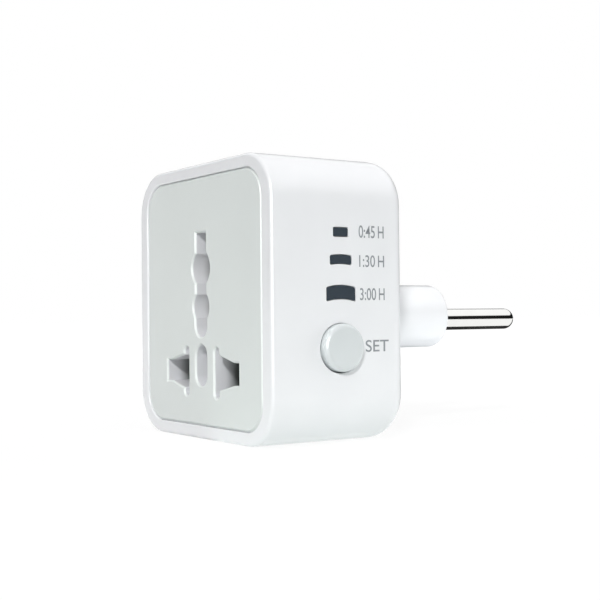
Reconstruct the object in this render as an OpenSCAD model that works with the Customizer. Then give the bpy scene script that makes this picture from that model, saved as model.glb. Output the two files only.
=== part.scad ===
// Plug-in timer switch: a wall-plug adapter with a universal socket on its front, two round plug pins
// behind, and a countdown board that switches the socket off after one of three set times.
// Millimetres. +Z is up, +Y points into the wall, and the origin is the middle of the flat underside.

/* [Case] */
// Width of the case
case_w = 55.5; // [52:0.5:70]
// Height of the case
case_h = 57; // [54:0.5:72]
// Depth of the case, from the socket face to the back
case_d = 33; // [31:0.5:45]
// Radius of the case's four long edges
corner_r = 9.5; // [8:0.5:11]
// Radius of the edge round the socket face
front_edge_r = 0.8; // [0.5:0.1:2]
// Radius of the edge round the back
rear_edge_r = 4.6; // [3:0.1:5]
// Thickness of the case walls
wall = 2.2; // [1.8:0.1:2.6]

/* [Faceplate] */
// Width of the rim left round the faceplate at the sides
rim_side = 3.6; // [3.4:0.1:5]
// Width of the rim left above and below the faceplate
rim_top = 2.75; // [2.6:0.05:4]
// Radius of the faceplate's corners
plate_r = 6.2; // [4:0.1:8]
// Thickness of the faceplate
plate_t = 2.2; // [1.8:0.1:2.6]
// How far the faceplate lies below the rim
plate_recess = 0.15; // [0.05:0.05:0.4]
// Groove between the faceplate and its rim
plate_gap = 0.2; // [0.1:0.05:0.4]
// Depth of the faceplate's shrouds behind its front face
shroud_depth = 8; // [7:0.5:9]

/* [Socket openings] */
// Height of the socket's centre over the middle of the case
socket_rise = 0; // [-1:0.5:1]
// Width of the upper slot of the earth opening
earth_slot_w = 4.3; // [4.1:0.1:4.6]
// Top of the earth opening over the socket's centre
earth_top = 14.2; // [13:0.1:15]
// Radius of the upper round of the earth opening
earth_hole_r = 3.75; // [3.4:0.05:4]
// Height of the upper round over the socket's centre
earth_hole_z = 6.8; // [6:0.1:7.5]
// Radius of the lower round of the earth opening
lower_hole_r = 3.35; // [3:0.05:3.6]
// Depth of the lower round under the socket's centre
lower_hole_z = 1.2; // [0.8:0.1:1.6]
// Width of the earth opening's tail
tail_w = 4.9; // [4.4:0.1:5.2]
// End of the earth opening's tail under the socket's centre
tail_end = 7.5; // [7:0.1:8]
// Width of the oval opening between the two blade openings
oval_w = 4.7; // [4.4:0.1:5]
// Top of the oval opening under the socket's centre
oval_top = 9.1; // [8.8:0.1:9.6]
// Bottom of the oval opening under the socket's centre
oval_end = 17.6; // [17:0.1:18]
// Distance of the upright blade slots from the centre line
blade_x = 6.35; // [6.2:0.05:6.5]
// Width of the upright blade slots
blade_w = 1.9; // [1.8:0.05:2.2]
// Height of the upright blade slots
blade_h = 10.4; // [9:0.1:10.8]
// Middle of the live and neutral openings under the socket's centre
blade_z = 14.7; // [14.4:0.1:15]
// Outer edge of the live and neutral openings from the centre line
flat_outer = 15.1; // [14.6:0.1:15.4]
// Height of the live and neutral openings at their outer end
flat_h = 4.5; // [4.3:0.1:4.8]
// Height of the live and neutral openings where they meet the upright slots
flare_h = 6.9; // [6:0.1:7.4]

/* [Plug] */
// Distance between the two plug pins
pin_spacing = 19; // [18.6:0.1:19.4]
// Diameter of the plug pins
pin_d = 4.8; // [4:0.1:5]
// Length of the plug pins outside the boss
pin_l = 23; // [19:0.5:25]
// Drop of the plug's centre below the middle of the case
plug_drop = 4.4; // [2:0.2:6]
// Width of the plug boss
boss_w = 27.6; // [27:0.1:34]
// Height of the plug boss
boss_h = 14; // [13.6:0.1:16]
// Length of the plug boss behind the case
boss_l = 23; // [18:0.5:26]
// Height of the boss's centre over the pins' centre
boss_rise = 0.8; // [0:0.1:1]
// Thickness of the plug boss's walls
boss_wall = 1.8; // [1.4:0.1:1.9]
// Thickness of the wall that the pins pass through
boss_end = 3.5; // [3:0.1:4.5]

/* [Button and windows] */
// Diameter of the set button
button_d = 9.7; // [8:0.1:10.5]
// How far the button stands out of the case
button_proud = 1.7; // [0.8:0.1:2]
// Drop of the button's centre below the middle of the case
button_drop = 9.5; // [9:0.1:10.5]
// Travel of the button when it is pressed
button_travel = 0.5; // [0.3:0.05:0.6]
// Length of the shortest time window
window_l1 = 3.5; // [3:0.1:4]
// Length of the middle time window
window_l2 = 5.1; // [4.4:0.1:5.6]
// Length of the longest time window
window_l3 = 6.9; // [6:0.1:7.4]
// Height of the two upper time windows
window_h = 1.8; // [1.4:0.05:2]
// Height of the lowest time window
window_h3 = 2.7; // [2.2:0.05:3]

/* [Hidden] */
$fn = 64;

// Clearances and small common sizes
over = 1;             // how far a cut runs past the face it opens
fit_gap = 0.1;        // sliding or seated fit, each side
press_gap = 0.05;     // close fit round a pin, each side
thread_gap = 0.02;    // screw in its pilot hole, each side
part_gap = 0.3;       // between pieces that don't touch
root_in = 0.5;        // how far a post starts inside the wall that carries it
sheet_t = 0.6;        // contact strip
white = "#F1F1F2";
plate_grey = "#D3DBD9";
nickel = "#D0D0CC";
brass = "#C9A24B";
steel = "#B9BCC0";
board_green = "#2E6B45";
black = "#26282B";
live_brown = "#8A5A3C";
neutral_blue = "#3D6FB5";

// Planes of the case
front_y = -case_d / 2;
back_y = case_d / 2;
side_x = case_w / 2;
inner_x = side_x - wall;
mid_z = case_h / 2;
socket_z = mid_z + socket_rise;

// Faceplate, its shelf in the case, and the shrouds behind it
plate_w = case_w - 2 * rim_side;
plate_h = case_h - 2 * rim_top;
plate_front = front_y + plate_recess;
shelf_y = plate_front + plate_t;
shelf_back = shelf_y + wall;
shroud_y = plate_front + shroud_depth;
shroud_wall = 1.3;
tower_wall = 1.7;
low_w = 2 * (flat_outer + shroud_wall);
low_z0 = socket_z - blade_z - blade_h / 2 - shroud_wall;
low_z1 = socket_z - oval_top + shroud_wall;
tower_w = 2 * (earth_hole_r + tower_wall);
tower_z1 = socket_z + earth_top + shroud_wall;

// Contact block behind the shrouds, with three screw ears
block_y0 = shroud_y;
block_l = 13.4;
block_y1 = block_y0 + block_l;
block_back = 1.2;
block_wall = 0.9;
pocket_y1 = block_y1 - block_back;
ear_t = 2;
ear_r = 2.9;
ear_x = 12;
ear_z = low_z1 + ear_r;
ear_top_z = tower_z1 + ear_r;
ear_bite = 3;

// Socket contacts and their solder tabs
tab_x = 10.4;
tab_w = 3;
tab_l = 4.2;
tab_end = block_y1 + tab_l;
tab_z = socket_z - blade_z;
mouth_y = block_y0 + part_gap;
web_y = pocket_y1 - sheet_t;
earth_z0 = socket_z - tail_end + 0.6;
earth_z1 = socket_z + earth_top - 1.2;

// Rear cover in the back of the case, and its screws
cover_inset = 5.05;
cover_lip = 1.4;
cover_t = 1.5;
cover_inner = 0.9;
cover_r = 5;
cover_face = back_y - cover_t;
cover_in = cover_face - cover_inner;
screw_in = [8.35, 8.9];
screw_x = side_x - screw_in.x;
screw_dz = mid_z - screw_in.y;
post_r = 2.4;
post_hole = 8;
case_bite = 6;
head_r = 2.1;
head_h = 1.1;
screw_r = 1.1;
pilot_r = screw_r + thread_gap;

// Plug boss, pins and their retainer
plug_z = mid_z - plug_drop;
pin_r = pin_d / 2;
shank_r = pin_r - 0.3;
pin_x = pin_spacing / 2;
boss_y1 = back_y + boss_l;
boss_in = boss_y1 - boss_end;
boss_z = plug_z + boss_rise;
cavity_w = boss_w - 2 * boss_wall;
cavity_h = boss_h - 2 * boss_wall;
end_skin = 1;
retainer_t = 1.6;
neck_r = 1.7;
neck_y0 = boss_in - retainer_t - press_gap;
cup_l = 3.4;
cup_r = 2;
cup_bore = 1.1;
cup_floor = 0.6;
pin_tail = neck_y0 - cup_l;

// Circuit board beside the right wall, on two pegs
board_inset = 5.55;
board_t = 1.6;
board_x1 = inner_x - board_inset;
board_x0 = board_x1 - board_t;
board_y0 = shroud_y - 1.05;
board_y1 = cover_in - 0.7;
board_z0 = mid_z - 16.6;
board_z1 = mid_z + 15.9;
peg_r = 2.2;
peg_back = 2.8;
peg_bite = 4.5;
board_pegs = [[board_y0 + peg_r, board_z0 + peg_r], [board_y1 - peg_back, board_z1 - peg_r]];

// Button, switch and windows
button_y = front_y + 16;
button_z = mid_z - button_drop;
button_gap = 0.25;
button_edge_r = 1;
flange_w = 0.7;
flange_t = 0.85;
flange_x = inner_x - part_gap - flange_t;
switch_side = 6;
switch_h = 3.3;
switch_floor = 1;
plunger_r = 1.7;
window_y = front_y + 16.1;
window_z = [mid_z + 13, mid_z + 7.5, mid_z + 0.85];
window_l = [window_l1, window_l2, window_l3];
window_hs = [window_h, window_h, window_h3];
window_bow = [0, 0.2, 0.45];
window_lip = 0.5;
window_lip_t = 0.7;
window_recess = 0.1;
led_size = [0.9, 3.2, 1.6];
baffle_rim = [0.8, 1.4];
baffle_half = window_l3 / 2 + window_lip + baffle_rim.x;

// Relay on the board's inner face
relay_w = 10;
relay_d = 15;
relay_h = 17.6;
relay_wall = 0.7;
relay_base_t = 1;
relay_x0 = board_x0 - relay_w;
relay_x1 = board_x0 - relay_base_t;
relay_y0 = board_y0 + 0.5;
relay_z0 = ear_z + ear_r + 0.15;
coil_x = relay_x0 + 4.8;
coil_y = relay_y0 + 6.4;
coil_r = 3.4;
coil_flange = [0.4, 0.8];
core_r = 1.6;
core_top = relay_z0 + relay_h - 2.3;
foot_z = relay_z0 + 1.2;
yoke_half = 2.8;
yoke_t = 1;
hinge_y = relay_y0 + 12.6;
armature_gap = 0.3;
armature_t = [0.8, 0.5];
contact_r = 0.9;
contact_z = relay_z0 + 5.2;
contact_gap = 0.4;

// Components behind and under the relay, and their legs through the board
lead_r = 0.3;
rear_y = relay_y0 + relay_d + 0.4;
film_y = [block_y1 + 0.4, board_y1 - 0.2];
film_z = [tab_z + 2.1, tab_z + 10.1];
film_h = 10;
film_leg = 1.2;
can_r = 3.1;
can_h = 11;
can_y = rear_y + can_r;
can_z = mid_z + 8.2;
can_leg = 1.2;
leg_in = 1;
disc_r = 3.4;
disc_t = 3.2;
disc_y = rear_y + disc_t / 2 + 0.1;
disc_z = mid_z + 1;
disc_leg = [0.8, 1.8];
film_legs = [for (z = [film_z[0] + film_leg, film_z[1] - film_leg]) [(film_y[0] + film_y[1]) / 2, z]];
can_legs = [for (s = [-1, 1]) [can_y, can_z + s * can_leg]];
disc_legs = [for (s = [-1, 1]) [disc_y + s * disc_leg.x, disc_z + s * disc_leg.y]];
chip_y = (window_y + baffle_half + board_y1) / 2;
chip_z = disc_z - 1.3;
solder_gap = 0.15;

// Leads
wire_r = 1;
wire_sides = 12;
bend_cut = 0.6;
tab_join = 1.2;
pad_z = board_z0 + 1.8;
pad_run = 2.5;
low_run = tab_z - 2.9;

// ---------------------------------------------------------------- helpers

// Places a flat outline in the XZ plane and gives it depth from y0 to y1
module slab(y0, y1) {
    translate([0, y1, 0]) rotate([90, 0, 0]) linear_extrude(y1 - y0) children();
}

// Places a flat outline in the YZ plane and gives it depth from x0 to x1
module side_slab(x0, x1) {
    translate([x0, 0, 0]) rotate([90, 0, 90]) linear_extrude(x1 - x0) children();
}

// Round bar along Y
module bar_y(r, y0, y1, x = 0, z = 0) {
    translate([x, y1, z]) rotate([90, 0, 0]) cylinder(h = y1 - y0, r = r);
}

// Round bar along X
module bar_x(r, x0, x1, y = 0, z = 0) {
    translate([x0, y, z]) rotate([0, 90, 0]) cylinder(h = x1 - x0, r = r);
}

// Box from its lowest corner to its highest
module block(low, high) {
    translate(low) cube(high - low);
}

// Rectangle with round corners, about the origin
module round_rect(w, h, r) {
    square([w, h - 2 * r], center = true);
    square([w - 2 * r, h], center = true);
    for (x = [-1, 1], y = [-1, 1]) {
        translate([x * (w / 2 - r), y * (h / 2 - r)]) circle(r);
    }
}

// Slot with round ends, lying down, about the origin
module flat_slot(w, h) {
    square([w - h, h], center = true);
    for (x = [-1, 1]) translate([x * (w - h) / 2, 0]) circle(h / 2);
}

// Slot with round ends, standing up
module tall_slot(w, z0, z1) {
    translate([-w / 2, z0 + w / 2]) square([w, z1 - z0 - w]);
    for (z = [z0 + w / 2, z1 - w / 2]) translate([0, z]) circle(w / 2);
}

// Corner section of the case: a rectangle r wide and d long with its two outer corners rounded
module edge_section(r, d, r_front, r_back) {
    difference() {
        square([r, d]);
        translate([r - r_front, d - r_front]) difference() {
            square(r_front + over);
            circle(r_front);
        }
        translate([r - r_back, r_back]) mirror([0, 1]) difference() {
            square(r_back + over);
            circle(r_back);
        }
    }
}

// Solid with round long edges and rounded front and back edges; depth runs along Y
module pillow(w, h, d, r, r_front, r_back) {
    translate([0, d / 2, 0]) rotate([90, 0, 0]) {
        for (a = [0, 90, 180, 270]) {
            side = (a % 180 == 0) ? [w / 2 - r, h / 2 - r] : [h / 2 - r, w / 2 - r];
            rotate([0, 0, a]) translate([side.x, side.y, 0])
                rotate_extrude(angle = 90) edge_section(r, d, r_front, r_back);
            rotate([0, 0, a]) translate([side.x, side.y, 0]) rotate([90, 0, 0])
                linear_extrude(2 * side.y) edge_section(r, d, r_front, r_back);
        }
        translate([r - w / 2, r - h / 2, 0]) cube([w - 2 * r, h - 2 * r, d]);
    }
}

// Strip of metal of thickness t along a line of points, as an outline
function turn90(v) = [-v.y, v.x];
function unit(v) = v / norm(v);
function strip_side(p, t) = [for (i = [0 : len(p) - 1])
    let (a = unit(p[min(i + 1, len(p) - 1)] - p[min(i, len(p) - 2)]),
         b = unit(p[max(i, 1)] - p[max(i - 1, 0)]),
         n = unit(turn90(a) + turn90(b)))
    p[i] + n * t / 2 / (n * turn90(a))];
module strip(p, t) {
    back = [for (i = [len(p) - 1 : -1 : 0]) p[i]];
    polygon(concat(strip_side(p, t), strip_side(back, t)));
}

// Line of points with each bend eased over three points
function eased(p) = [for (i = [0 : len(p) - 1])
    let (a = p[i] - unit(p[i] - p[max(i - 1, 0)]) * bend_cut,
         b = p[i] + unit(p[min(i + 1, len(p) - 1)] - p[i]) * bend_cut)
    each (i == 0 || i == len(p) - 1) ? [p[i]] : [a, (2 * p[i] + a + b) / 4, b]];

// Normal of the plane that halves the bend at a line's i-th point
function bend_plane(p, i) = unit((i == 0 ? [0, 0, 0] : unit(p[i] - p[i - 1]))
    + (i == len(p) - 1 ? [0, 0, 0] : unit(p[i + 1] - p[i])));

// Rings of a tube along a line of points, each in the plane that halves the bend
function first_ring(p, r) = let (d = unit(p[1] - p[0]), u = unit(cross(d, [0.3, 0.5, 0.8])), v = cross(d, u))
    [for (k = [0 : wire_sides - 1]) let (turn = k * 360 / wire_sides)
        p[0] + r * (cos(turn) * u + sin(turn) * v)];
function next_ring(ring, d, at, n) = [for (q = ring) q + d * ((at - q) * n) / (d * n)];
function rings(p, r, i = 0, ring = undef) = i == len(p) ? []
    : let (now = i == 0 ? first_ring(p, r) : next_ring(ring, p[i] - p[i - 1], p[i], bend_plane(p, i)))
        concat([now], rings(p, r, i + 1, now));

// Insulated wire along a line of points
module wire(points, r) {
    p = eased(points);
    n = wire_sides;
    sides = [for (i = [0 : len(p) - 2], k = [0 : n - 1])
        [i * n + k, i * n + (k + 1) % n, (i + 1) * n + (k + 1) % n, (i + 1) * n + k]];
    ends = [[for (k = [n - 1 : -1 : 0]) k], [for (k = [0 : n - 1]) (len(p) - 1) * n + k]];
    polyhedron([for (ring = rings(p, r), q = ring) q], concat(sides, ends));
}

// Pan-head screw along Y, its head towards -Y, with the underside of the head at y
module screw_y(x, y, z, l) {
    slot = [2.5, 0.6];
    bar_y(screw_r, y, y + l, x, z);
    difference() {
        bar_y(head_r, y - head_h, y, x, z);
        for (a = [slot, [slot.y, slot.x]])
            block([x - a.x / 2, y - head_h - over, z - a.y / 2], [x + a.x / 2, y - head_h / 2, z + a.y / 2]);
    }
}

// Small component lying on the board's outer face, long along Z
module chip(y, z, w, l, h) {
    block([board_x1, y - w / 2, z - l / 2], [board_x1 + h, y + w / 2, z + l / 2]);
}

// ---------------------------------------------------------------- socket outlines

module earth_outline(grow = 0) {
    translate([0, socket_z]) {
        translate([-earth_slot_w / 2 - grow, -lower_hole_z])
            square([earth_slot_w + 2 * grow, earth_top + lower_hole_z + grow]);
        translate([0, earth_hole_z]) circle(earth_hole_r + grow);
        translate([0, -lower_hole_z]) circle(lower_hole_r + grow);
        tall_slot(tail_w + 2 * grow, -tail_end - grow, 0);
    }
}

module oval_outline() {
    translate([0, socket_z]) tall_slot(oval_w, -oval_end, -oval_top);
}

// One blade opening: an upright slot, and a flat slot that flares towards it
module blade_outline() {
    inner = blade_x - blade_w / 2;
    flare_start = 0.3;
    straight_end = 2.1;
    neck = blade_x + blade_w / 2 + flare_start;
    shoulder = flat_outer - straight_end;
    translate([0, socket_z - blade_z]) {
        translate([blade_x, 0]) tall_slot(blade_w, -blade_h / 2, blade_h / 2);
        polygon([[inner, flare_h / 2], [neck, flare_h / 2], [shoulder, flat_h / 2], [flat_outer, flat_h / 2],
            [flat_outer, -flat_h / 2], [shoulder, -flat_h / 2], [neck, -flare_h / 2], [inner, -flare_h / 2]]);
    }
}

module socket_outlines() {
    earth_outline();
    oval_outline();
    blade_outline();
    mirror([1, 0]) blade_outline();
}

// Outline of the shrouds behind the faceplate, grown by a clearance
module shroud_outline(grow = 0) {
    translate([-low_w / 2 - grow, low_z0 - grow]) square([low_w + 2 * grow, low_z1 - low_z0 + 2 * grow]);
    translate([-tower_w / 2 - grow, low_z0]) square([tower_w + 2 * grow, tower_z1 - low_z0 + grow]);
}

// One time window: a bar whose long edges bow upwards by `bow`
module window_outline(i, grow = 0) {
    l = window_l[i] + 2 * grow;
    h = window_hs[i] + 2 * grow;
    bow = window_bow[i];
    translate([window_y, window_z[i]]) {
        if (bow == 0) {
            square([l, h], center = true);
        } else {
            r = (l * l / 4 + bow * bow) / (2 * bow);
            intersection() {
                translate([-l / 2, -h / 2 - over]) square([l, h + bow + 2 * over]);
                difference() {
                    translate([0, h / 2 + bow - r]) circle(r);
                    translate([0, bow - h / 2 - r]) circle(r);
                }
            }
        }
    }
}

// ---------------------------------------------------------------- case

module front_case() {
    pilot_l = block_y0 - shelf_y - 1;
    color(white) difference() {
        union() {
            difference() {
                translate([0, 0, mid_z]) pillow(case_w, case_h, case_d, corner_r, front_edge_r, rear_edge_r);
                slab(shelf_back, back_y - wall) translate([0, mid_z])
                    round_rect(case_w - 2 * wall, case_h - 2 * wall, corner_r - wall);
                slab(front_y - over, shelf_y) translate([0, mid_z])
                    round_rect(plate_w + 2 * plate_gap, plate_h + 2 * plate_gap, plate_r + plate_gap);
                slab(back_y - wall - over, back_y + over) translate([0, mid_z])
                    round_rect(case_w - 2 * (cover_inset + cover_lip), case_h - 2 * (cover_inset + cover_lip),
                        cover_r - cover_lip);
                slab(cover_face, back_y + over) translate([0, mid_z])
                    round_rect(case_w - 2 * cover_inset, case_h - 2 * cover_inset, cover_r);
                slab(shelf_y - over, shelf_back + over) shroud_outline(part_gap);
            }
            for (x = [-1, 1], z = [-1, 1])
                bar_y(post_r, shelf_y + root_in, cover_in, x * screw_x, mid_z + z * screw_dz);
            for (x = [-1, 1]) bar_y(ear_r, shelf_y + root_in, block_y0, x * ear_x, ear_z);
            bar_y(ear_r, shelf_y + root_in, block_y0, 0, ear_top_z);
            for (p = board_pegs) bar_x(peg_r, board_x1, inner_x + wall / 2, p.x, p.y);
        }
        for (x = [-1, 1], z = [-1, 1])
            bar_y(pilot_r, cover_in - post_hole, cover_in + over, x * screw_x, mid_z + z * screw_dz);
        for (x = [-1, 1]) bar_y(pilot_r, block_y0 - pilot_l, block_y0 + over, x * ear_x, ear_z);
        bar_y(pilot_r, block_y0 - pilot_l, block_y0 + over, 0, ear_top_z);
        for (p = board_pegs) bar_x(pilot_r, board_x1 - over, inner_x, p.x, p.y);
        bar_x(button_d / 2 + button_gap, inner_x - over, side_x + over, button_y, button_z);
        for (i = [0 : 2]) side_slab(inner_x - over, side_x + over) window_outline(i);
    }
}

module rear_cover() {
    color(white) difference() {
        union() {
            slab(cover_face, back_y) translate([0, mid_z])
                round_rect(case_w - 2 * (cover_inset + fit_gap), case_h - 2 * (cover_inset + fit_gap),
                    cover_r - fit_gap);
            slab(cover_in, cover_face) translate([0, mid_z])
                round_rect(case_w - 2 * (cover_inset + cover_lip + fit_gap),
                    case_h - 2 * (cover_inset + cover_lip + fit_gap), cover_r - cover_lip - fit_gap);
            slab(back_y, boss_y1) translate([0, boss_z]) flat_slot(boss_w, boss_h);
        }
        slab(cover_in - over, boss_in) translate([0, boss_z]) flat_slot(cavity_w, cavity_h);
        for (x = [-1, 1]) bar_y(shank_r + press_gap, boss_in - over, boss_y1 + over, x * pin_x, plug_z);
        bar_y(pilot_r, boss_in - over, boss_y1 - end_skin, 0, plug_z);
        for (x = [-1, 1], z = [-1, 1]) {
            bar_y(screw_r + fit_gap, cover_in - over, back_y + over, x * screw_x, mid_z + z * screw_dz);
            bar_y(head_r + fit_gap, back_y - head_h - fit_gap, back_y + over,
                x * screw_x, mid_z + z * screw_dz);
        }
    }
}

module faceplate() {
    color(plate_grey) difference() {
        union() {
            slab(plate_front, shelf_y) translate([0, mid_z]) round_rect(plate_w, plate_h, plate_r);
            slab(shelf_y, shroud_y) shroud_outline();
        }
        slab(plate_front - over, shroud_y + over) socket_outlines();
    }
}

// Insulating block that holds the three socket contacts
module contact_block() {
    blade_in = blade_x - blade_w / 2 - 1.1;
    blade_out = low_w / 2 - block_wall;
    roof = 2.2;
    tab_half = sheet_t / 2 + fit_gap;
    ear_root = 1;
    color("#D9DBDA") difference() {
        union() {
            slab(block_y0, block_y1) shroud_outline();
            slab(block_y0, block_y0 + ear_t) {
                for (x = [-1, 1]) {
                    translate([x * ear_x, ear_z]) circle(ear_r);
                    translate([x * ear_x - ear_r, low_z1 - ear_root]) square([2 * ear_r, ear_r + ear_root]);
                }
                translate([0, ear_top_z]) circle(ear_r);
                translate([-ear_r, tower_z1 - ear_root]) square([2 * ear_r, ear_r + ear_root]);
            }
        }
        for (s = [-1, 1]) {
            block([s > 0 ? blade_in : -blade_out, block_y0 - over, low_z0 + block_wall],
                [s > 0 ? blade_out : -blade_in, pocket_y1, low_z1 - roof]);
            block([s * tab_x - tab_w / 2 - fit_gap, pocket_y1 - over, tab_z - tab_half],
                [s * tab_x + tab_w / 2 + fit_gap, block_y1 + over, tab_z + tab_half]);
            bar_y(screw_r + fit_gap, block_y0 - over, block_y0 + ear_t + over, s * ear_x, ear_z);
        }
        block([block_wall - tower_w / 2, block_y0 - over, earth_z0 - part_gap],
            [tower_w / 2 - block_wall, pocket_y1, earth_z1 + part_gap]);
        bar_y(screw_r + fit_gap, block_y0 - over, block_y0 + ear_t + over, 0, ear_top_z);
    }
}

// ---------------------------------------------------------------- socket contacts

// Leaf in the depth and spread directions: flared mouth, pinch, then back out to the web
function leaf_line(mouth, pinch, root) = [[mouth_y, mouth], [mouth_y + 4, pinch], [mouth_y + 6, pinch],
    [web_y - 1, root], [web_y + sheet_t, root]];

// Blade contact on the right-hand side: two flat leaves, one upright leaf, a web and a solder tab
module blade_contact() {
    leaf_x0 = blade_x + blade_w / 2 + 0.5;
    leaf_x1 = flat_outer - 0.3;
    spread = [2.9, 1.8, 2.6];
    upright_x0 = blade_x - blade_w / 2 - 0.65;
    upright_half = 4.1;
    web_half = spread[2] + sheet_t / 2;
    translate([0, 0, tab_z]) {
        for (s = [-1, 1])
            side_slab(leaf_x0, leaf_x1)
                strip([for (q = leaf_line(spread[0], spread[1], spread[2])) [q.x, s * q.y]], sheet_t);
        block([upright_x0, web_y, -web_half], [leaf_x1, web_y + sheet_t, web_half]);
        block([upright_x0, mouth_y, -upright_half], [upright_x0 + sheet_t, web_y + sheet_t, upright_half]);
        block([tab_x - tab_w / 2, web_y, -sheet_t / 2], [tab_x + tab_w / 2, tab_end, sheet_t / 2]);
    }
}

module live_contact() {
    color(brass) blade_contact();
}

module neutral_contact() {
    color(brass) mirror([1, 0, 0]) blade_contact();
}

// Earth contact: two upright leaves joined by a web at the back
module earth_contact() {
    spread = [3.1, 1.8, 2.5];
    web_half = spread[2] + sheet_t / 2;
    color(brass) {
        for (s = [-1, 1])
            translate([0, 0, earth_z0]) linear_extrude(earth_z1 - earth_z0)
                strip([for (q = leaf_line(spread[0], spread[1], spread[2])) [s * q.y, q.x]], sheet_t);
        block([-web_half, web_y, earth_z0], [web_half, web_y + sheet_t, earth_z1]);
    }
}

// ---------------------------------------------------------------- plug pins

module plug_pin(x) {
    color(nickel) difference() {
        union() {
            bar_y(pin_r, boss_y1, boss_y1 + pin_l - pin_r, x, plug_z);
            bar_y(shank_r, boss_in + press_gap, boss_y1, x, plug_z);
            translate([x, boss_y1 + pin_l - pin_r, plug_z]) sphere(pin_r);
            bar_y(neck_r, neck_y0, boss_in + press_gap, x, plug_z);
            bar_y(cup_r, pin_tail, neck_y0, x, plug_z);
        }
        bar_y(cup_bore, pin_tail - over, neck_y0 - cup_floor, x, plug_z);
    }
}

module plug_pin_left() {
    plug_pin(-pin_x);
}

module plug_pin_right() {
    plug_pin(pin_x);
}

// Plate that grips the pins' necks behind the end wall
module pin_retainer() {
    w = cavity_w - 2 * fit_gap;
    h = cavity_h - 2 * fit_gap;
    color("#C9CBC8") difference() {
        slab(boss_in - retainer_t, boss_in) translate([0, boss_z]) flat_slot(w, h);
        for (s = [-1, 1]) {
            bar_y(neck_r + press_gap, boss_in - retainer_t - over, boss_in + over, s * pin_x, plug_z);
            block([s * pin_x - neck_r - press_gap, boss_in - retainer_t - over, plug_z - h],
                [s * pin_x + neck_r + press_gap, boss_in + over, plug_z]);
        }
        bar_y(screw_r + fit_gap, boss_in - retainer_t - over, boss_in + over, 0, plug_z);
    }
}

module retainer_screw() {
    color(steel) screw_y(0, boss_in - retainer_t, plug_z, retainer_t + boss_end - end_skin - part_gap);
}

// ---------------------------------------------------------------- circuit board

module circuit_board() {
    color(board_green) difference() {
        block([board_x0, board_y0, board_z0], [board_x1, board_y1, board_z1]);
        for (p = board_pegs) bar_x(screw_r + fit_gap, board_x0 - over, board_x1 + over, p.x, p.y);
        for (p = concat(film_legs, can_legs, disc_legs))
            bar_x(lead_r + press_gap, board_x0 - over, board_x1 + over, p.x, p.y);
    }
}

module relay_cover() {
    color("#2C4F7C") difference() {
        block([relay_x0, relay_y0, relay_z0], [relay_x1, relay_y0 + relay_d, relay_z0 + relay_h]);
        block([relay_x0 + relay_wall, relay_y0 + relay_wall, relay_z0 + relay_wall],
            [board_x0, relay_y0 + relay_d - relay_wall, relay_z0 + relay_h - relay_wall]);
    }
}

// Base on the board, with a rib that carries the coil
module relay_base() {
    rib_half = 2;
    rib_x0 = coil_x + coil_r + 0.6;
    color("#30343A") {
        block([relay_x1, relay_y0, relay_z0], [board_x0, relay_y0 + relay_d, relay_z0 + relay_h]);
        block([rib_x0, coil_y - rib_half, relay_z0 + 3], [relay_x1, coil_y + rib_half, core_top - 2]);
    }
}

// Winding between the two flanges of its bobbin
module relay_coil() {
    low = foot_z + yoke_t + 0.2;
    high = core_top - 0.6;
    color("#B5562C") difference() {
        union() {
            translate([coil_x, coil_y, low]) cylinder(h = high - low, r = coil_r);
            for (z = [low, high - coil_flange.y])
                translate([coil_x, coil_y, z]) cylinder(h = coil_flange.y, r = coil_r + coil_flange.x);
        }
        translate([coil_x, coil_y, relay_z0]) cylinder(h = relay_h, r = core_r + press_gap);
    }
}

// Soft-iron core, foot, upright leg and the tail that joins the base
module relay_yoke() {
    leg_y0 = hinge_y - 1.4;
    leg_y1 = leg_y0 + yoke_t;
    tail_z = [3, 8];
    color(steel) {
        translate([coil_x, coil_y, foot_z]) cylinder(h = core_top - foot_z, r = core_r);
        block([coil_x - yoke_half, coil_y - yoke_half, foot_z],
            [coil_x + yoke_half, leg_y1, foot_z + yoke_t]);
        block([coil_x - yoke_half, leg_y0, foot_z], [coil_x + yoke_half, leg_y1, core_top]);
        block([coil_x + yoke_half, leg_y0, foot_z + tail_z[0]], [relay_x1, leg_y1, foot_z + tail_z[1]]);
    }
}

// Hinged armature with the moving contact on its long arm
module relay_armature() {
    top_half = 2.6;
    arm_half = 2;
    low = core_top + armature_gap;
    high = low + armature_t[0];
    arm_y1 = hinge_y + armature_t[1];
    color("#A9ACB0") {
        block([coil_x - top_half, coil_y - 3.6, low], [coil_x + top_half, arm_y1, high]);
        block([coil_x - arm_half, hinge_y, contact_z - 1.2], [coil_x + arm_half, arm_y1, high]);
        bar_y(contact_r, arm_y1 - 0.1, arm_y1 + 0.3, coil_x, contact_z);
    }
}

// Fixed contact on its terminal
module relay_fixed_contact() {
    y = hinge_y + armature_t[1] + 0.3 + contact_gap;
    half = [1.5, 1.6];
    color(brass) {
        bar_y(contact_r, y, y + 0.2, coil_x, contact_z);
        block([coil_x - half.x, y + 0.1, contact_z - half.y], [relay_x1, y + 0.4, contact_z + half.y]);
    }
}

// ---------------------------------------------------------------- components on the board

// Component legs through the board, cut off flush with its outer face
module legs(points, x0) {
    for (p = points) bar_x(lead_r, x0, board_x1, p.x, p.y);
}

module film_capacitor() {
    color("#C7B23A") {
        block([board_x0 - film_h, film_y[0], film_z[0]], [board_x0 - 0.4, film_y[1], film_z[1]]);
        legs(film_legs, board_x0 - leg_in);
    }
}

module electrolytic_capacitor() {
    color("#2B3346") {
        bar_x(can_r, board_x0 - can_h, board_x0 - 0.2, can_y, can_z);
        legs(can_legs, board_x0 - leg_in);
    }
}

module varistor() {
    color("#2F6FB0") {
        bar_y(disc_r, disc_y - disc_t / 2, disc_y + disc_t / 2, board_x0 - disc_r - leg_in, disc_z);
        legs(disc_legs, board_x0 - disc_r);
    }
}

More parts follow.
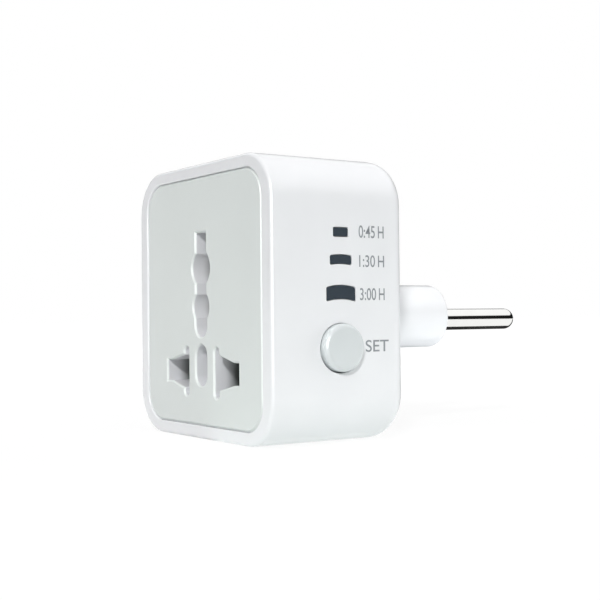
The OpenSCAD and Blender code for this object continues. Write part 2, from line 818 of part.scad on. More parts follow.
// Small tubular fuse with two end caps, lying along Z on the board's outer face
module fuse() {
    r = 1;
    l = 5;
    cap_l = 1.1;
    cap_rim = 0.15;
    color("#5B8F6B") translate([board_x1 + r + cap_rim, chip_y, can_z - 0.4 - l / 2]) {
        cylinder(h = l, r = r);
        for (z = [0, l - cap_l]) translate([0, 0, z]) cylinder(h = cap_l, r = r + cap_rim);
    }
}

// Controller with a row of feet along each long side
module controller_chip() {
    pitch = 1.27;
    body = [1.6, 3.9, 8.7];
    foot = [0.5, 1.2, 0.4];
    foot_y = 2.4;
    color(black) {
        block([board_x1 + solder_gap, chip_y - body.y / 2, chip_z - body.z / 2],
            [board_x1 + body.x, chip_y + body.y / 2, chip_z + body.z / 2]);
        for (i = [-3 : 3], s = [-1, 1])
            block([board_x1, chip_y + s * foot_y - foot.y / 2, chip_z + i * pitch - foot.z / 2],
                [board_x1 + foot.x, chip_y + s * foot_y + foot.y / 2, chip_z + i * pitch + foot.z / 2]);
    }
}

module chip_resistors() {
    row = 3.6;
    color("#303236") for (i = [-2 : 2]) chip(board_y0 + 1.8, mid_z + 0.2 + row * i, 1.6, 3.0, 0.6);
}

module rectifier_diodes() {
    pitch = [3.2, 5.1];
    color("#1F2124") for (i = [0, 1], j = [0, 1])
        chip(button_y + 5.6 + i * pitch.x, board_z0 + 3.6 + j * pitch.y, 2.6, 4.5, 2);
}

module driver_transistor() {
    color(black) chip(button_y + 11.8, board_z0 + 6.2, 1.3, 2.9, 1);
}

// ---------------------------------------------------------------- button, switch, lights

module tact_switch() {
    h = switch_side / 2;
    color("#3A3D40") difference() {
        block([board_x1, button_y - h, button_z - h], [board_x1 + switch_h, button_y + h, button_z + h]);
        bar_x(plunger_r + fit_gap, board_x1 + switch_floor, board_x1 + switch_h + over, button_y, button_z);
    }
}

module tact_plunger() {
    x0 = board_x1 + switch_floor + button_travel + part_gap;
    color("#6E7276") bar_x(plunger_r, x0, flange_x, button_y, button_z);
}

// Cap with a rounded rim and a retaining flange behind the wall
module set_button() {
    r = button_d / 2;
    top = side_x + button_proud;
    color("#CDD6D2") translate([0, button_y, button_z]) rotate([0, 90, 0]) rotate_extrude() difference() {
        union() {
            translate([0, flange_x]) square([r, top - flange_x]);
            translate([0, flange_x]) square([r + flange_w, flange_t]);
        }
        translate([r - button_edge_r, top - button_edge_r]) difference() {
            square(button_edge_r + over);
            circle(button_edge_r);
        }
    }
}

module led(i) {
    color("#E8E4C8") block([board_x1, window_y - led_size.y / 2, window_z[i] - led_size.z / 2],
        [board_x1 + led_size.x, window_y + led_size.y / 2, window_z[i] + led_size.z / 2]);
}

module led_045() {
    led(0);
}

module led_130() {
    led(1);
}

module led_300() {
    led(2);
}

// Divider that keeps each lamp's light in its own window
module light_baffle() {
    x1 = inner_x - window_lip_t - fit_gap;
    color(black) difference() {
        block([board_x1, window_y - baffle_half, window_z[2] - window_h3 / 2 - baffle_rim.y],
            [x1, window_y + baffle_half, window_z[0] + window_h / 2 + baffle_rim.y]);
        for (i = [0 : 2])
            block([board_x1 - over, window_y - window_l[i] / 2, window_z[i] - window_hs[i] / 2],
                [x1 + over, window_y + window_l[i] / 2, window_z[i] + window_hs[i] / 2]);
    }
}

// Tinted window: a bar in the wall with a lip behind it
module window_lens(i) {
    color("#2B3038") {
        side_slab(inner_x, side_x - window_recess) window_outline(i, -press_gap);
        side_slab(inner_x - window_lip_t, inner_x) translate([window_y, window_z[i] + window_bow[i] / 2])
            square([window_l[i] + 2 * window_lip, window_hs[i] + window_bow[i] + 2 * window_lip],
                center = true);
    }
}

module window_045() {
    window_lens(0);
}

module window_130() {
    window_lens(1);
}

module window_300() {
    window_lens(2);
}

// ---------------------------------------------------------------- fasteners

module case_screws() {
    color(steel) mirror([0, 1, 0]) for (x = [-1, 1], z = [-1, 1])
        screw_y(x * screw_x, head_h - back_y, mid_z + z * screw_dz,
            cover_t + cover_inner - head_h + case_bite);
}

module block_screws() {
    y = -(block_y0 + ear_t);
    color(steel) mirror([0, 1, 0]) {
        for (x = [-1, 1]) screw_y(x * ear_x, y, ear_z, ear_t + ear_bite);
        screw_y(0, y, ear_top_z, ear_t + ear_bite);
    }
}

module board_screws() {
    color(steel) for (p = board_pegs) {
        translate([board_x0, p.x, p.y]) rotate([0, 0, -90]) screw_y(0, 0, 0, board_t + peg_bite);
    }
}

// ---------------------------------------------------------------- leads

// Right-hand pin to the board
module lead_live() {
    drop_y = cover_in - 1.6;
    color(live_brown) wire([[pin_x, pin_tail + 2, plug_z], [pin_x, pin_tail - 8, plug_z],
        [pin_x - 1, cover_in + 3, plug_z], [pin_x - 1, drop_y, plug_z + 1],
        [board_x0 - pad_run, drop_y, plug_z + 4], [board_x0, drop_y, plug_z + 4]], wire_r);
}

// Left-hand pin to the neutral contact's tab
module lead_neutral() {
    color(neutral_blue) wire([[-pin_x, pin_tail + 2, plug_z], [-pin_x, pin_tail - 8, plug_z],
        [0.8 - pin_x, cover_in + 2.4, plug_z - 1.8], [-tab_x, tab_end - tab_join, tab_z + 5.5],
        [-tab_x, tab_end - tab_join, tab_z + sheet_t / 2]], wire_r);
}

// Neutral contact's tab to the board, along the bottom of the case
module lead_neutral_board() {
    run_y = tab_end + 2.2;
    color(neutral_blue) wire([[-tab_x, tab_end - tab_join, tab_z - sheet_t / 2],
        [-tab_x, tab_end - tab_join, low_run], [2 - tab_x, run_y, low_run], [tab_x - 1, run_y, low_run],
        [board_x0 - pad_run, run_y, pad_z], [board_x0, run_y, pad_z]], wire_r);
}

// Relay output on the board to the live contact's tab
module lead_switched() {
    y = tab_end - tab_join;
    color(live_brown) wire([[board_x0, y, pad_z], [board_x0 - pad_run, y, pad_z], [tab_x + 2, y, low_run],
        [tab_x, y, low_run], [tab_x, y, tab_z - sheet_t / 2]], wire_r);
}

front_case();
rear_cover();
faceplate();
contact_block();
live_contact();
neutral_contact();
earth_contact();
plug_pin_left();
plug_pin_right();
pin_retainer();
retainer_screw();
circuit_board();
relay_cover();
relay_base();
relay_coil();
relay_yoke();
relay_armature();
relay_fixed_contact();
film_capacitor();
electrolytic_capacitor();
varistor();
fuse();
controller_chip();
chip_resistors();
rectifier_diodes();
driver_transistor();
tact_switch();
tact_plunger();
set_button();
led_045();
led_130();
led_300();
light_baffle();
window_045();
window_130();
window_300();
case_screws();
board_screws();
block_screws();
lead_live();
lead_neutral();
lead_neutral_board();
lead_switched();
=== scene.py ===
"""Plug-in timer switch: the outer pieces, finishes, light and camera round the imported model."""

import math

import bmesh
import bpy
from mathutils import Matrix, Vector


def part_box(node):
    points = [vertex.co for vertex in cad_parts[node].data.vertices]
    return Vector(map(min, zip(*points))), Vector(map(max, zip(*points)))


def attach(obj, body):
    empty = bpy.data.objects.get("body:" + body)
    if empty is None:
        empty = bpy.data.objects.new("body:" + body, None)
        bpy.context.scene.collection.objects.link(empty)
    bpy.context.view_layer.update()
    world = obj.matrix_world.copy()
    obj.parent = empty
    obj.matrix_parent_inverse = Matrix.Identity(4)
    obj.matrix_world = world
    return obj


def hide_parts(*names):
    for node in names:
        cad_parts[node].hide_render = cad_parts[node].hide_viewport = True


bl_info = {
    "name": "Plug-in Timer Switch",
    "version": (1, 0, 0),
    "blender": (4, 5, 0),
    "location": "3D View > Sidebar > Timer Switch",
    "description": "Case, socket plate, button, windows, marks and plug pins of a plug-in timer switch",
    "category": "Add Mesh",
}

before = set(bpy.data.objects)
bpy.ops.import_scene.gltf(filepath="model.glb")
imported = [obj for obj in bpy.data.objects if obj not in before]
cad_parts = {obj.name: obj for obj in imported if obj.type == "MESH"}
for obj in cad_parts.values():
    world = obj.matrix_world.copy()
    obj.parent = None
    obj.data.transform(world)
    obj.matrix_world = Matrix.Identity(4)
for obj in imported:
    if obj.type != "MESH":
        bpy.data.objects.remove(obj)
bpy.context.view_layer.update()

MM = 0.001

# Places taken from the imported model
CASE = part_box("front_case")
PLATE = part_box("faceplate")
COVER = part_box("rear_cover")
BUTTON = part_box("set_button")
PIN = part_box("plug_pin_right")
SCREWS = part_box("case_screws")
MID_Z = (CASE[0].z + CASE[1].z) / 2
SIDE_X = CASE[1].x
FRONT_Y = CASE[0].y
BACK_Y = CASE[1].y

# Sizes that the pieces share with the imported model
WALL = 2.2 * MM
PLATE_THICK = 2.2 * MM
SHELF_Y = PLATE[0].y + PLATE_THICK
SHROUD_Y = PLATE[1].y
COVER_FACE = BACK_Y - 1.5 * MM
COVER_IN = COVER[0].y
COVER_INSET = 5.05 * MM
COVER_LIP = 1.4 * MM
PILOT_R = 1.12 * MM
POST_HOLE = 8 * MM
PIN_R = 2.4 * MM
PIN_X = 9.5 * MM       # from the middle to either pin
PIN_Z = PIN[0].z + PIN_R
SCREW_PLACES = [(x * 19.4 * MM, MID_Z + z * 19.6 * MM) for x in (-1, 1) for z in (-1, 1)]
CUT_PAST = 1 * MM      # how far a cutting shape runs past the face it opens
TEXT_LIFT = 0.02 * MM  # thickness of the printed ink


# ---------------------------------------------------------------- sizes and colours to change

def length(label, text, value):
    """A length property shown in the scene's own unit."""
    return bpy.props.FloatProperty(name=label, description=text, default=value, min=0.0,
                                   unit="LENGTH", subtype="DISTANCE", precision=5)


def shade(label, text, value):
    """A colour property written as an sRGB hex value."""
    return bpy.props.StringProperty(name=label, description=text, default=value)


def power(label, text, value):
    """A lamp's power."""
    return bpy.props.FloatProperty(name=label, description=text, default=value, unit="POWER")


class TimerCaseSizes(bpy.types.PropertyGroup):
    """Roundings of the case and its rear cover."""
    corner_radius: length("Corner radius", "Radius of the four long edges", 9.5 * MM)
    front_edge: length("Front edge", "Radius of the edge round the socket face", 0.8 * MM)
    rear_edge: length("Rear edge", "Radius of the edge round the back", 4.6 * MM)
    rim_edge: length("Rim edge", "Radius of the rim's inner edge, beside the groove", 0.3 * MM)
    groove: length("Groove", "Gap between the rim and the socket plate", 0.07 * MM)
    hole_edge: length("Hole edge", "Radius round the button's hole", 0.25 * MM)
    window_edge: length("Window edge", "Radius round each window's hole", 0.35 * MM)
    boss_edge: length("Boss edge", "Radius round the end of the plug boss", 0.7 * MM)


class TimerPlateSizes(bpy.types.PropertyGroup):
    """Corners and chamfers of the socket plate."""
    corner_radius: length("Corner radius", "Radius of the plate's corners", 6.2 * MM)
    edge: length("Edge", "Chamfer of the plate's outer edge", 0.5 * MM)
    chamfer: length("Chamfer", "Width of the chamfer round each socket opening", 0.36 * MM)


class TimerColours(bpy.types.PropertyGroup):
    """Colours of the pieces that show."""
    case: shade("Case", "White moulded case", "#F0F1F3")
    plate: shade("Plate", "Grey-green socket plate", "#DFE4E2")
    button: shade("Button", "Pale grey-green button cap", "#D9DEDF")
    window: shade("Window", "Smoked window", "#3E464E")
    ink: shade("Ink", "Printed marks", "#8B8F93")
    pin: shade("Pin", "Nickel of the plug pins", "#F2F2F0")


class TimerStage(bpy.types.PropertyGroup):
    """Camera and light."""
    camera_place: bpy.props.FloatVectorProperty(
        name="Camera place", description="Where the camera stands", size=3, subtype="XYZ", unit="LENGTH",
        default=(0.205069, -0.128938, 0.025355))
    camera_turn: bpy.props.FloatVectorProperty(
        name="Camera turn", description="Heading, tilt and roll of the camera", size=3, subtype="EULER",
        unit="ROTATION", default=tuple(math.radians(a) for a in (56.179, 0.778, -0.537)))
    lens: bpy.props.FloatProperty(name="Lens", description="Focal length on a 36 mm sensor",
                                  default=67.546, unit="CAMERA")
    sky: bpy.props.FloatProperty(name="Sky", description="Strength of the soft light all round",
                                 default=0.15)
    key: power("Key", "Power of the main lamp", 30.3)
    top: power("Top", "Power of the lamp overhead", 4.8)
    front: power("Front", "Power of the lamp in front, on the left", 0.145)
    back: power("Back", "Power of the lamp behind, on the right", 5.6)
    glint: power("Glint", "Power of the lamp that only shows in reflections", 30.0)
    low: power("Low", "Power of the lamp on the floor beside the case", 0.024)


# ---------------------------------------------------------------- modelling by hand, in code

def deselect():
    """Leaves nothing selected, in object mode."""
    if bpy.context.object is not None and bpy.context.object.mode != "OBJECT":
        bpy.ops.object.mode_set(mode="OBJECT")
    bpy.ops.object.select_all(action="DESELECT")


def hold(piece):
    """Makes one piece the only selected and active one."""
    deselect()
    piece.select_set(True)
    bpy.context.view_layer.objects.active = piece


def named(name):
    """Names the object that was just added and applies its place, turn and size to its mesh."""
    piece = bpy.context.object
    piece.name = piece.data.name = name
    bpy.ops.object.transform_apply(location=True, rotation=True, scale=True)
    return piece


def start_box(name, low, high):
    """A cube stretched between two corners."""
    deselect()
    low, high = Vector(low), Vector(high)
    bpy.ops.mesh.primitive_cube_add(size=1, location=(low + high) / 2, scale=high - low)
    return named(name)


def start_rod(name, radius, low, high, across, sides=48):
    """A round rod between two levels: along Y if `across` is (x, z), along X if it is (0, y, z)."""
    deselect()
    middle, quarter = (low + high) / 2, math.radians(90)
    if len(across) == 3:
        place, turn = (middle, across[1], across[2]), (0, quarter, 0)
    else:
        place, turn = (across[0], middle, across[1]), (quarter, 0, 0)
    bpy.ops.mesh.primitive_cylinder_add(vertices=sides, radius=radius, depth=high - low,
                                        location=place, rotation=turn)
    return named(name)


def edit(piece):
    """Opens a piece in edit mode with nothing selected."""
    hold(piece)
    bpy.ops.object.mode_set(mode="EDIT")
    bpy.ops.mesh.select_all(action="DESELECT")


def done():
    """Leaves edit mode."""
    bpy.ops.object.mode_set(mode="OBJECT")


def near(value, target, within=0.004 * MM):
    """Whether two lengths agree."""
    return abs(value - target) < within


def on_plane(edge, axis, place):
    """Whether both ends of an edge lie on a plane."""
    return all(near(v.co[axis], place) for v in edge.verts)


def along(edge, axis):
    """Whether an edge runs along an axis."""
    run = (edge.verts[1].co - edge.verts[0].co).normalized()
    return abs(run[axis]) > 0.999


def soften(piece, *rounds):
    """Rounds edges of a piece. Each round is a width, a number of steps (one makes a chamfer) and the
    test that picks its edges. It stops if no edge passes."""
    edit(piece)
    bpy.ops.mesh.select_mode(type="EDGE")
    for width, steps, test in rounds:
        bpy.ops.mesh.select_all(action="DESELECT")
        mesh = bmesh.from_edit_mesh(piece.data)
        mesh.normal_update()
        chosen = [edge for edge in mesh.edges if test(edge)]
        if not chosen:
            raise RuntimeError(f"{piece.name}: no edge matches the place asked for")
        for edge in chosen:
            edge.select_set(True)
        bmesh.update_edit_mesh(piece.data)
        bpy.ops.mesh.bevel(offset=width, offset_type="OFFSET", segments=steps, profile=0.5,
                           affect="EDGES", clamp_overlap=False, loop_slide=False)
    done()


def round_box(name, low, high, radius, steps=14):
    """A box whose four edges along Y are rounded."""
    piece = start_box(name, low, high)
    soften(piece, (radius, steps, lambda e: along(e, 1)))
    return piece


def start_point(name):
    """A piece of one point at the origin, open in edit mode."""
    deselect()
    bpy.ops.mesh.primitive_plane_add(size=MM)
    piece = bpy.context.object
    piece.name = piece.data.name = name
    bpy.ops.object.mode_set(mode="EDIT")
    bpy.ops.mesh.select_mode(type="VERT")
    bpy.ops.mesh.select_all(action="SELECT")
    bpy.ops.mesh.merge(type="CENTER")
    return piece


def prism(name, outline, start, run):
    """Draws an outline point by point, fills it and extrudes it; `start` places a 2-D point in space."""
    piece = start_point(name)
    points = [start(*p) for p in outline]
    bpy.ops.transform.translate(value=points[0])
    for before, after in zip(points, points[1:]):
        bpy.ops.mesh.extrude_vertices_move(TRANSFORM_OT_translate={"value": after - before})
    bpy.ops.mesh.select_all(action="SELECT")
    bpy.ops.mesh.edge_face_add()
    bpy.ops.mesh.extrude_region_move(TRANSFORM_OT_translate={"value": run})
    bpy.ops.mesh.select_all(action="SELECT")
    bpy.ops.mesh.normals_make_consistent(inside=False)
    done()
    return piece


def depth_prism(name, outline, y0, y1):
    """An outline in X and Z given depth along Y."""
    return prism(name, outline, lambda x, z: Vector((x, y0, z)), Vector((0, y1 - y0, 0)))


def side_prism(name, outline, x0, x1):
    """An outline in Y and Z given depth along X."""
    return prism(name, outline, lambda y, z: Vector((x0, y, z)), Vector((x1 - x0, 0, 0)))


def turned(name, profile, centre, axis, steps=64):
    """A turned piece: draws (distance along the axis, radius) points and spins them round the axis."""
    points = [Vector(centre) + Vector(axis) * way + Vector((0, 0, radius)) for way, radius in profile]
    piece = start_point(name)
    bpy.ops.transform.translate(value=points[0])
    for before, after in zip(points, points[1:]):
        bpy.ops.mesh.extrude_vertices_move(TRANSFORM_OT_translate={"value": after - before})
    bpy.ops.mesh.select_all(action="SELECT")
    bpy.ops.mesh.spin(steps=steps, angle=math.tau, center=centre, axis=axis)
    bpy.ops.mesh.select_all(action="SELECT")
    bpy.ops.mesh.remove_doubles(threshold=0.001 * MM)
    bpy.ops.mesh.normals_make_consistent(inside=False)
    done()
    return piece


def copy_at(piece, name, place):
    """A copy of a piece, moved by `place`."""
    hold(piece)
    bpy.ops.object.duplicate(linked=False)
    bpy.context.object.location = place
    return named(name)


def arc(x, z, radius, start, end, steps):
    """Points along an arc, its angles in degrees."""
    angles = [math.radians(start + (end - start) * i / steps) for i in range(steps + 1)]
    return [(x + radius * math.cos(a), z + radius * math.sin(a)) for a in angles]


def combine(piece, tool, how):
    """Cuts a tool out of a piece or joins it on, and removes the tool."""
    hold(piece)
    change = piece.modifiers.new(how, "BOOLEAN")
    change.operation = how
    change.solver = "EXACT"
    change.object = tool
    bpy.ops.object.modifier_apply(modifier=change.name)
    mesh = tool.data
    bpy.data.objects.remove(tool)
    bpy.data.meshes.remove(mesh)
    if not piece.data.polygons:
        raise RuntimeError(f"{piece.name} has nothing left after {how}")


def cut(piece, *tools):
    """Cuts each tool out of a piece."""
    for tool in tools:
        combine(piece, tool, "DIFFERENCE")


def join(piece, *tools):
    """Joins each tool to a piece."""
    for tool in tools:
        combine(piece, tool, "UNION")


def clean(piece):
    """Merges points that a cut left on top of each other."""
    edit(piece)
    bpy.ops.mesh.select_all(action="SELECT")
    bpy.ops.mesh.remove_doubles(threshold=0.0015 * MM)
    bpy.ops.mesh.dissolve_degenerate(threshold=0.001 * MM)
    done()


def settle(piece, node, body, finish, angle=32):
    """Smooths a finished piece, gives it its finish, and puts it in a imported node's place."""
    hold(piece)
    bpy.ops.object.shade_smooth_by_angle(angle=math.radians(angle))
    weigh = piece.modifiers.new("weigh", "WEIGHTED_NORMAL")
    weigh.keep_sharp = True
    bpy.ops.object.modifier_apply(modifier=weigh.name)
    piece.data.materials.clear()
    piece.data.materials.append(bpy.data.materials[finish])
    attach(piece, body)
    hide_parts(node)
    deselect()


# ---------------------------------------------------------------- finishes

def linear(colour):
    """Linear values of an sRGB hex colour."""
    levels = [int(colour[i:i + 2], 16) / 255 for i in (1, 3, 5)]
    return tuple(v / 12.92 if v <= 0.04045 else ((v + 0.055) / 1.055) ** 2.4 for v in levels) + (1.0,)


def scaled(colour, share):
    """The same sRGB hex colour made darker or lighter by a share."""
    levels = [min(255, round(int(colour[i:i + 2], 16) * share)) for i in (1, 3, 5)]
    return "#%02X%02X%02X" % tuple(levels)


def add(tree, kind, inputs=None, **settings):
    """Adds a node; an input takes a value or another node's output."""
    node = tree.nodes.new(kind)
    for name, value in settings.items():
        setattr(node, name, value)
    for name, value in (inputs or {}).items():
        if isinstance(value, bpy.types.NodeSocket):
            tree.links.new(value, node.inputs[name])
        else:
            node.inputs[name].default_value = value
    return node


def reckon(tree, how, first, second):
    """Adds a sum, product or comparison of two values and gives its result."""
    return add(tree, "ShaderNodeMath", {0: first, 1: second}, operation=how).outputs[0]


def blank(name):
    """A new material, its empty node tree, and where its nodes read their place from."""
    material = bpy.data.materials.new(name)
    material.use_nodes = True
    material.node_tree.nodes.clear()
    where = add(material.node_tree, "ShaderNodeTexCoord").outputs["Object"]
    return material, material.node_tree, where


def surface(name, low, high, patch, grain, depth, roughness, paint=None, **shader):
    """A finish: its colour drifts between two shades over `patch`, and a grain of size `grain` stands
    `depth` high and moves the roughness between two values. `paint` may lay a pattern over the colour."""
    material, tree, where = blank(name)
    drift = add(tree, "ShaderNodeTexNoise", {"Vector": where, "Scale": 1 / patch, "Detail": 2.0})
    speck = add(tree, "ShaderNodeTexNoise", {"Vector": where, "Scale": 1 / grain, "Detail": 3.0})
    colour = add(tree, "ShaderNodeMix", {0: drift.outputs["Fac"], 6: linear(low), 7: linear(high)},
                 data_type="RGBA").outputs[2]
    if paint:
        colour = paint(tree, where, colour)
    gloss = add(tree, "ShaderNodeMapRange", {"Value": speck.outputs["Fac"],
                                             "To Min": roughness[0], "To Max": roughness[1]})
    relief = add(tree, "ShaderNodeBump", {"Height": speck.outputs["Fac"], "Distance": depth})
    body = add(tree, "ShaderNodeBsdfPrincipled", {
        "Base Color": colour, "Roughness": gloss.outputs["Result"], "Normal": relief.outputs["Normal"],
        **shader})
    add(tree, "ShaderNodeOutputMaterial", {"Surface": body.outputs["BSDF"]})
    return material


def plastic(name, colour, roughness=(0.32, 0.4), grain=0.4 * MM, depth=0.003 * MM, ior=1.53, **more):
    """Moulded plastic: an even colour with a very faint flow, and the fine texture of the mould."""
    return surface(name, scaled(colour, 0.985), scaled(colour, 1.01), 14 * MM, grain, depth, roughness,
                   IOR=ior, **more)


def metal(name, colour, roughness=(0.12, 0.2), grain=0.3 * MM, depth=0.001 * MM, **more):
    """Bare or plated metal, brighter and duller in small patches."""
    return surface(name, scaled(colour, 0.96), colour, 3 * MM, grain, depth, roughness,
                   Metallic=1.0, **more)


def between(tree, where, axis, low, high):
    """1 where a place lies between two levels of an axis, 0 elsewhere."""
    place = add(tree, "ShaderNodeSeparateXYZ", {"Vector": where}).outputs[axis]
    above = reckon(tree, "GREATER_THAN", place, low)
    below = reckon(tree, "LESS_THAN", place, high)
    return reckon(tree, "MULTIPLY", above, below)


def over_colour(tree, share, under, top):
    """Lays a colour over another where share is 1."""
    return add(tree, "ShaderNodeMix", {0: share, 6: under, 7: linear(top)}, data_type="RGBA").outputs[2]


# ---------------------------------------------------------------- outlines

def rounded(half_w, half_h, radius, middle, steps=14):
    """Outline of a rectangle with round corners."""
    points, across, up = [], half_w - radius, half_h - radius
    for x, z, start in ((1, 1, 0), (-1, 1, 90), (-1, -1, 180), (1, -1, 270)):
        points += arc(x * across, middle + z * up, radius, start, start + 90, steps)
    return points


def earth_outline(z):
    """Keyhole of the earth opening: slot, upper round, lower round and tail."""
    slot, upper, lower, tail = 2.15 * MM, 3.75 * MM, 3.35 * MM, 2.45 * MM
    upper_z, lower_z, tail_z = z + 6.8 * MM, z - 1.2 * MM, z - 5.05 * MM
    turn = math.degrees(math.acos(slot / upper))
    turn_low = math.degrees(math.acos(slot / lower))
    turn_tail = math.degrees(math.acos(tail / lower))
    half = [(slot, z + 14.2 * MM)] + arc(0, upper_z, upper, turn, -turn, 22)
    half += arc(0, lower_z, lower, turn_low, -turn_tail, 18)
    half += arc(0, tail_z, tail, 0, -90, 10)
    return half + [(-x, h) for x, h in reversed(half[:-1])]


def oval_outline(z):
    """Slot with round ends between the two blade openings."""
    radius = 2.35 * MM
    top, foot = z - 11.45 * MM, z - 15.25 * MM
    return arc(0, top, radius, 0, 180, 20) + arc(0, foot, radius, 180, 360, 20)


def blade_outline(z, side):
    """Upright slot that opens into a flared flat slot."""
    inner, radius, middle = 5.4 * MM, 0.95 * MM, z - 14.7 * MM
    outer, neck, shoulder, far = 7.3 * MM, 7.6 * MM, 13.0 * MM, 15.1 * MM
    flare, flat, straight = 3.45 * MM, 2.25 * MM, 4.25 * MM
    top = arc(inner + radius, straight, radius, 180, 0, 14)
    top += [(outer, flare), (neck, flare), (shoulder, flat), (far, flat)]
    whole = top + [(x, -h) for x, h in reversed(top)]
    points = [(side * x, middle + h) for x, h in whole]
    return points if side > 0 else points[::-1]


def shroud_outline(grow):
    """Outline of the shrouds behind the plate: a wide low part and a tower."""
    low_w, tower_w = 16.4 * MM + grow, 5.45 * MM + grow
    low, shoulder, top = 7.3 * MM - grow, 20.7 * MM + grow, 44 * MM + grow
    return [(-low_w, low), (low_w, low), (low_w, shoulder), (tower_w, shoulder), (tower_w, top),
            (-tower_w, top), (-tower_w, shoulder), (-low_w, shoulder)]


def obround(half_w, radius, z, steps=24):
    """Slot with round ends, lying down."""
    end = half_w - radius
    return arc(end, z, radius, -90, 90, steps) + arc(-end, z, radius, 90, 270, steps)


WINDOWS = (  # name, length, height, rise of its bowed edges, height over the underside
    ("window_045", 3.5 * MM, 1.8 * MM, 0.0, 41.5 * MM),
    ("window_130", 5.1 * MM, 1.8 * MM, 0.2 * MM, 36.0 * MM),
    ("window_300", 6.9 * MM, 2.7 * MM, 0.45 * MM, 29.35 * MM),
)
WINDOW_Y = -0.4 * MM


def window_outline(long, high, bow, z, shrink=0.0, steps=12):
    """Bar whose two long edges bow upwards."""
    long, high = long - 2 * shrink, high - 2 * shrink
    ys = [long * (i / steps - 0.5) for i in range(steps + 1)]
    foot, top = z - high / 2, z + high / 2
    rise = [bow * (1 - (2 * y / long) ** 2) for y in ys]
    outline = [(WINDOW_Y + y, foot + r) for y, r in zip(ys, rise)]
    return outline + [(WINDOW_Y + y, top + r) for y, r in zip(reversed(ys), reversed(rise))]


def window_block(name, row, x0, x1, shrink=0.0, corner=0.28 * MM):
    """Window-shaped block with its four corners rounded."""
    _, long, high, bow, z = row
    block = side_prism(name, window_outline(long, high, bow, z, shrink), x0, x1)
    ends = long / 2 - shrink
    soften(block, (corner, 4, lambda e: along(e, 0) and near(abs(e.verts[0].co.y - WINDOW_Y), ends)))
    return block


# ---------------------------------------------------------------- pieces

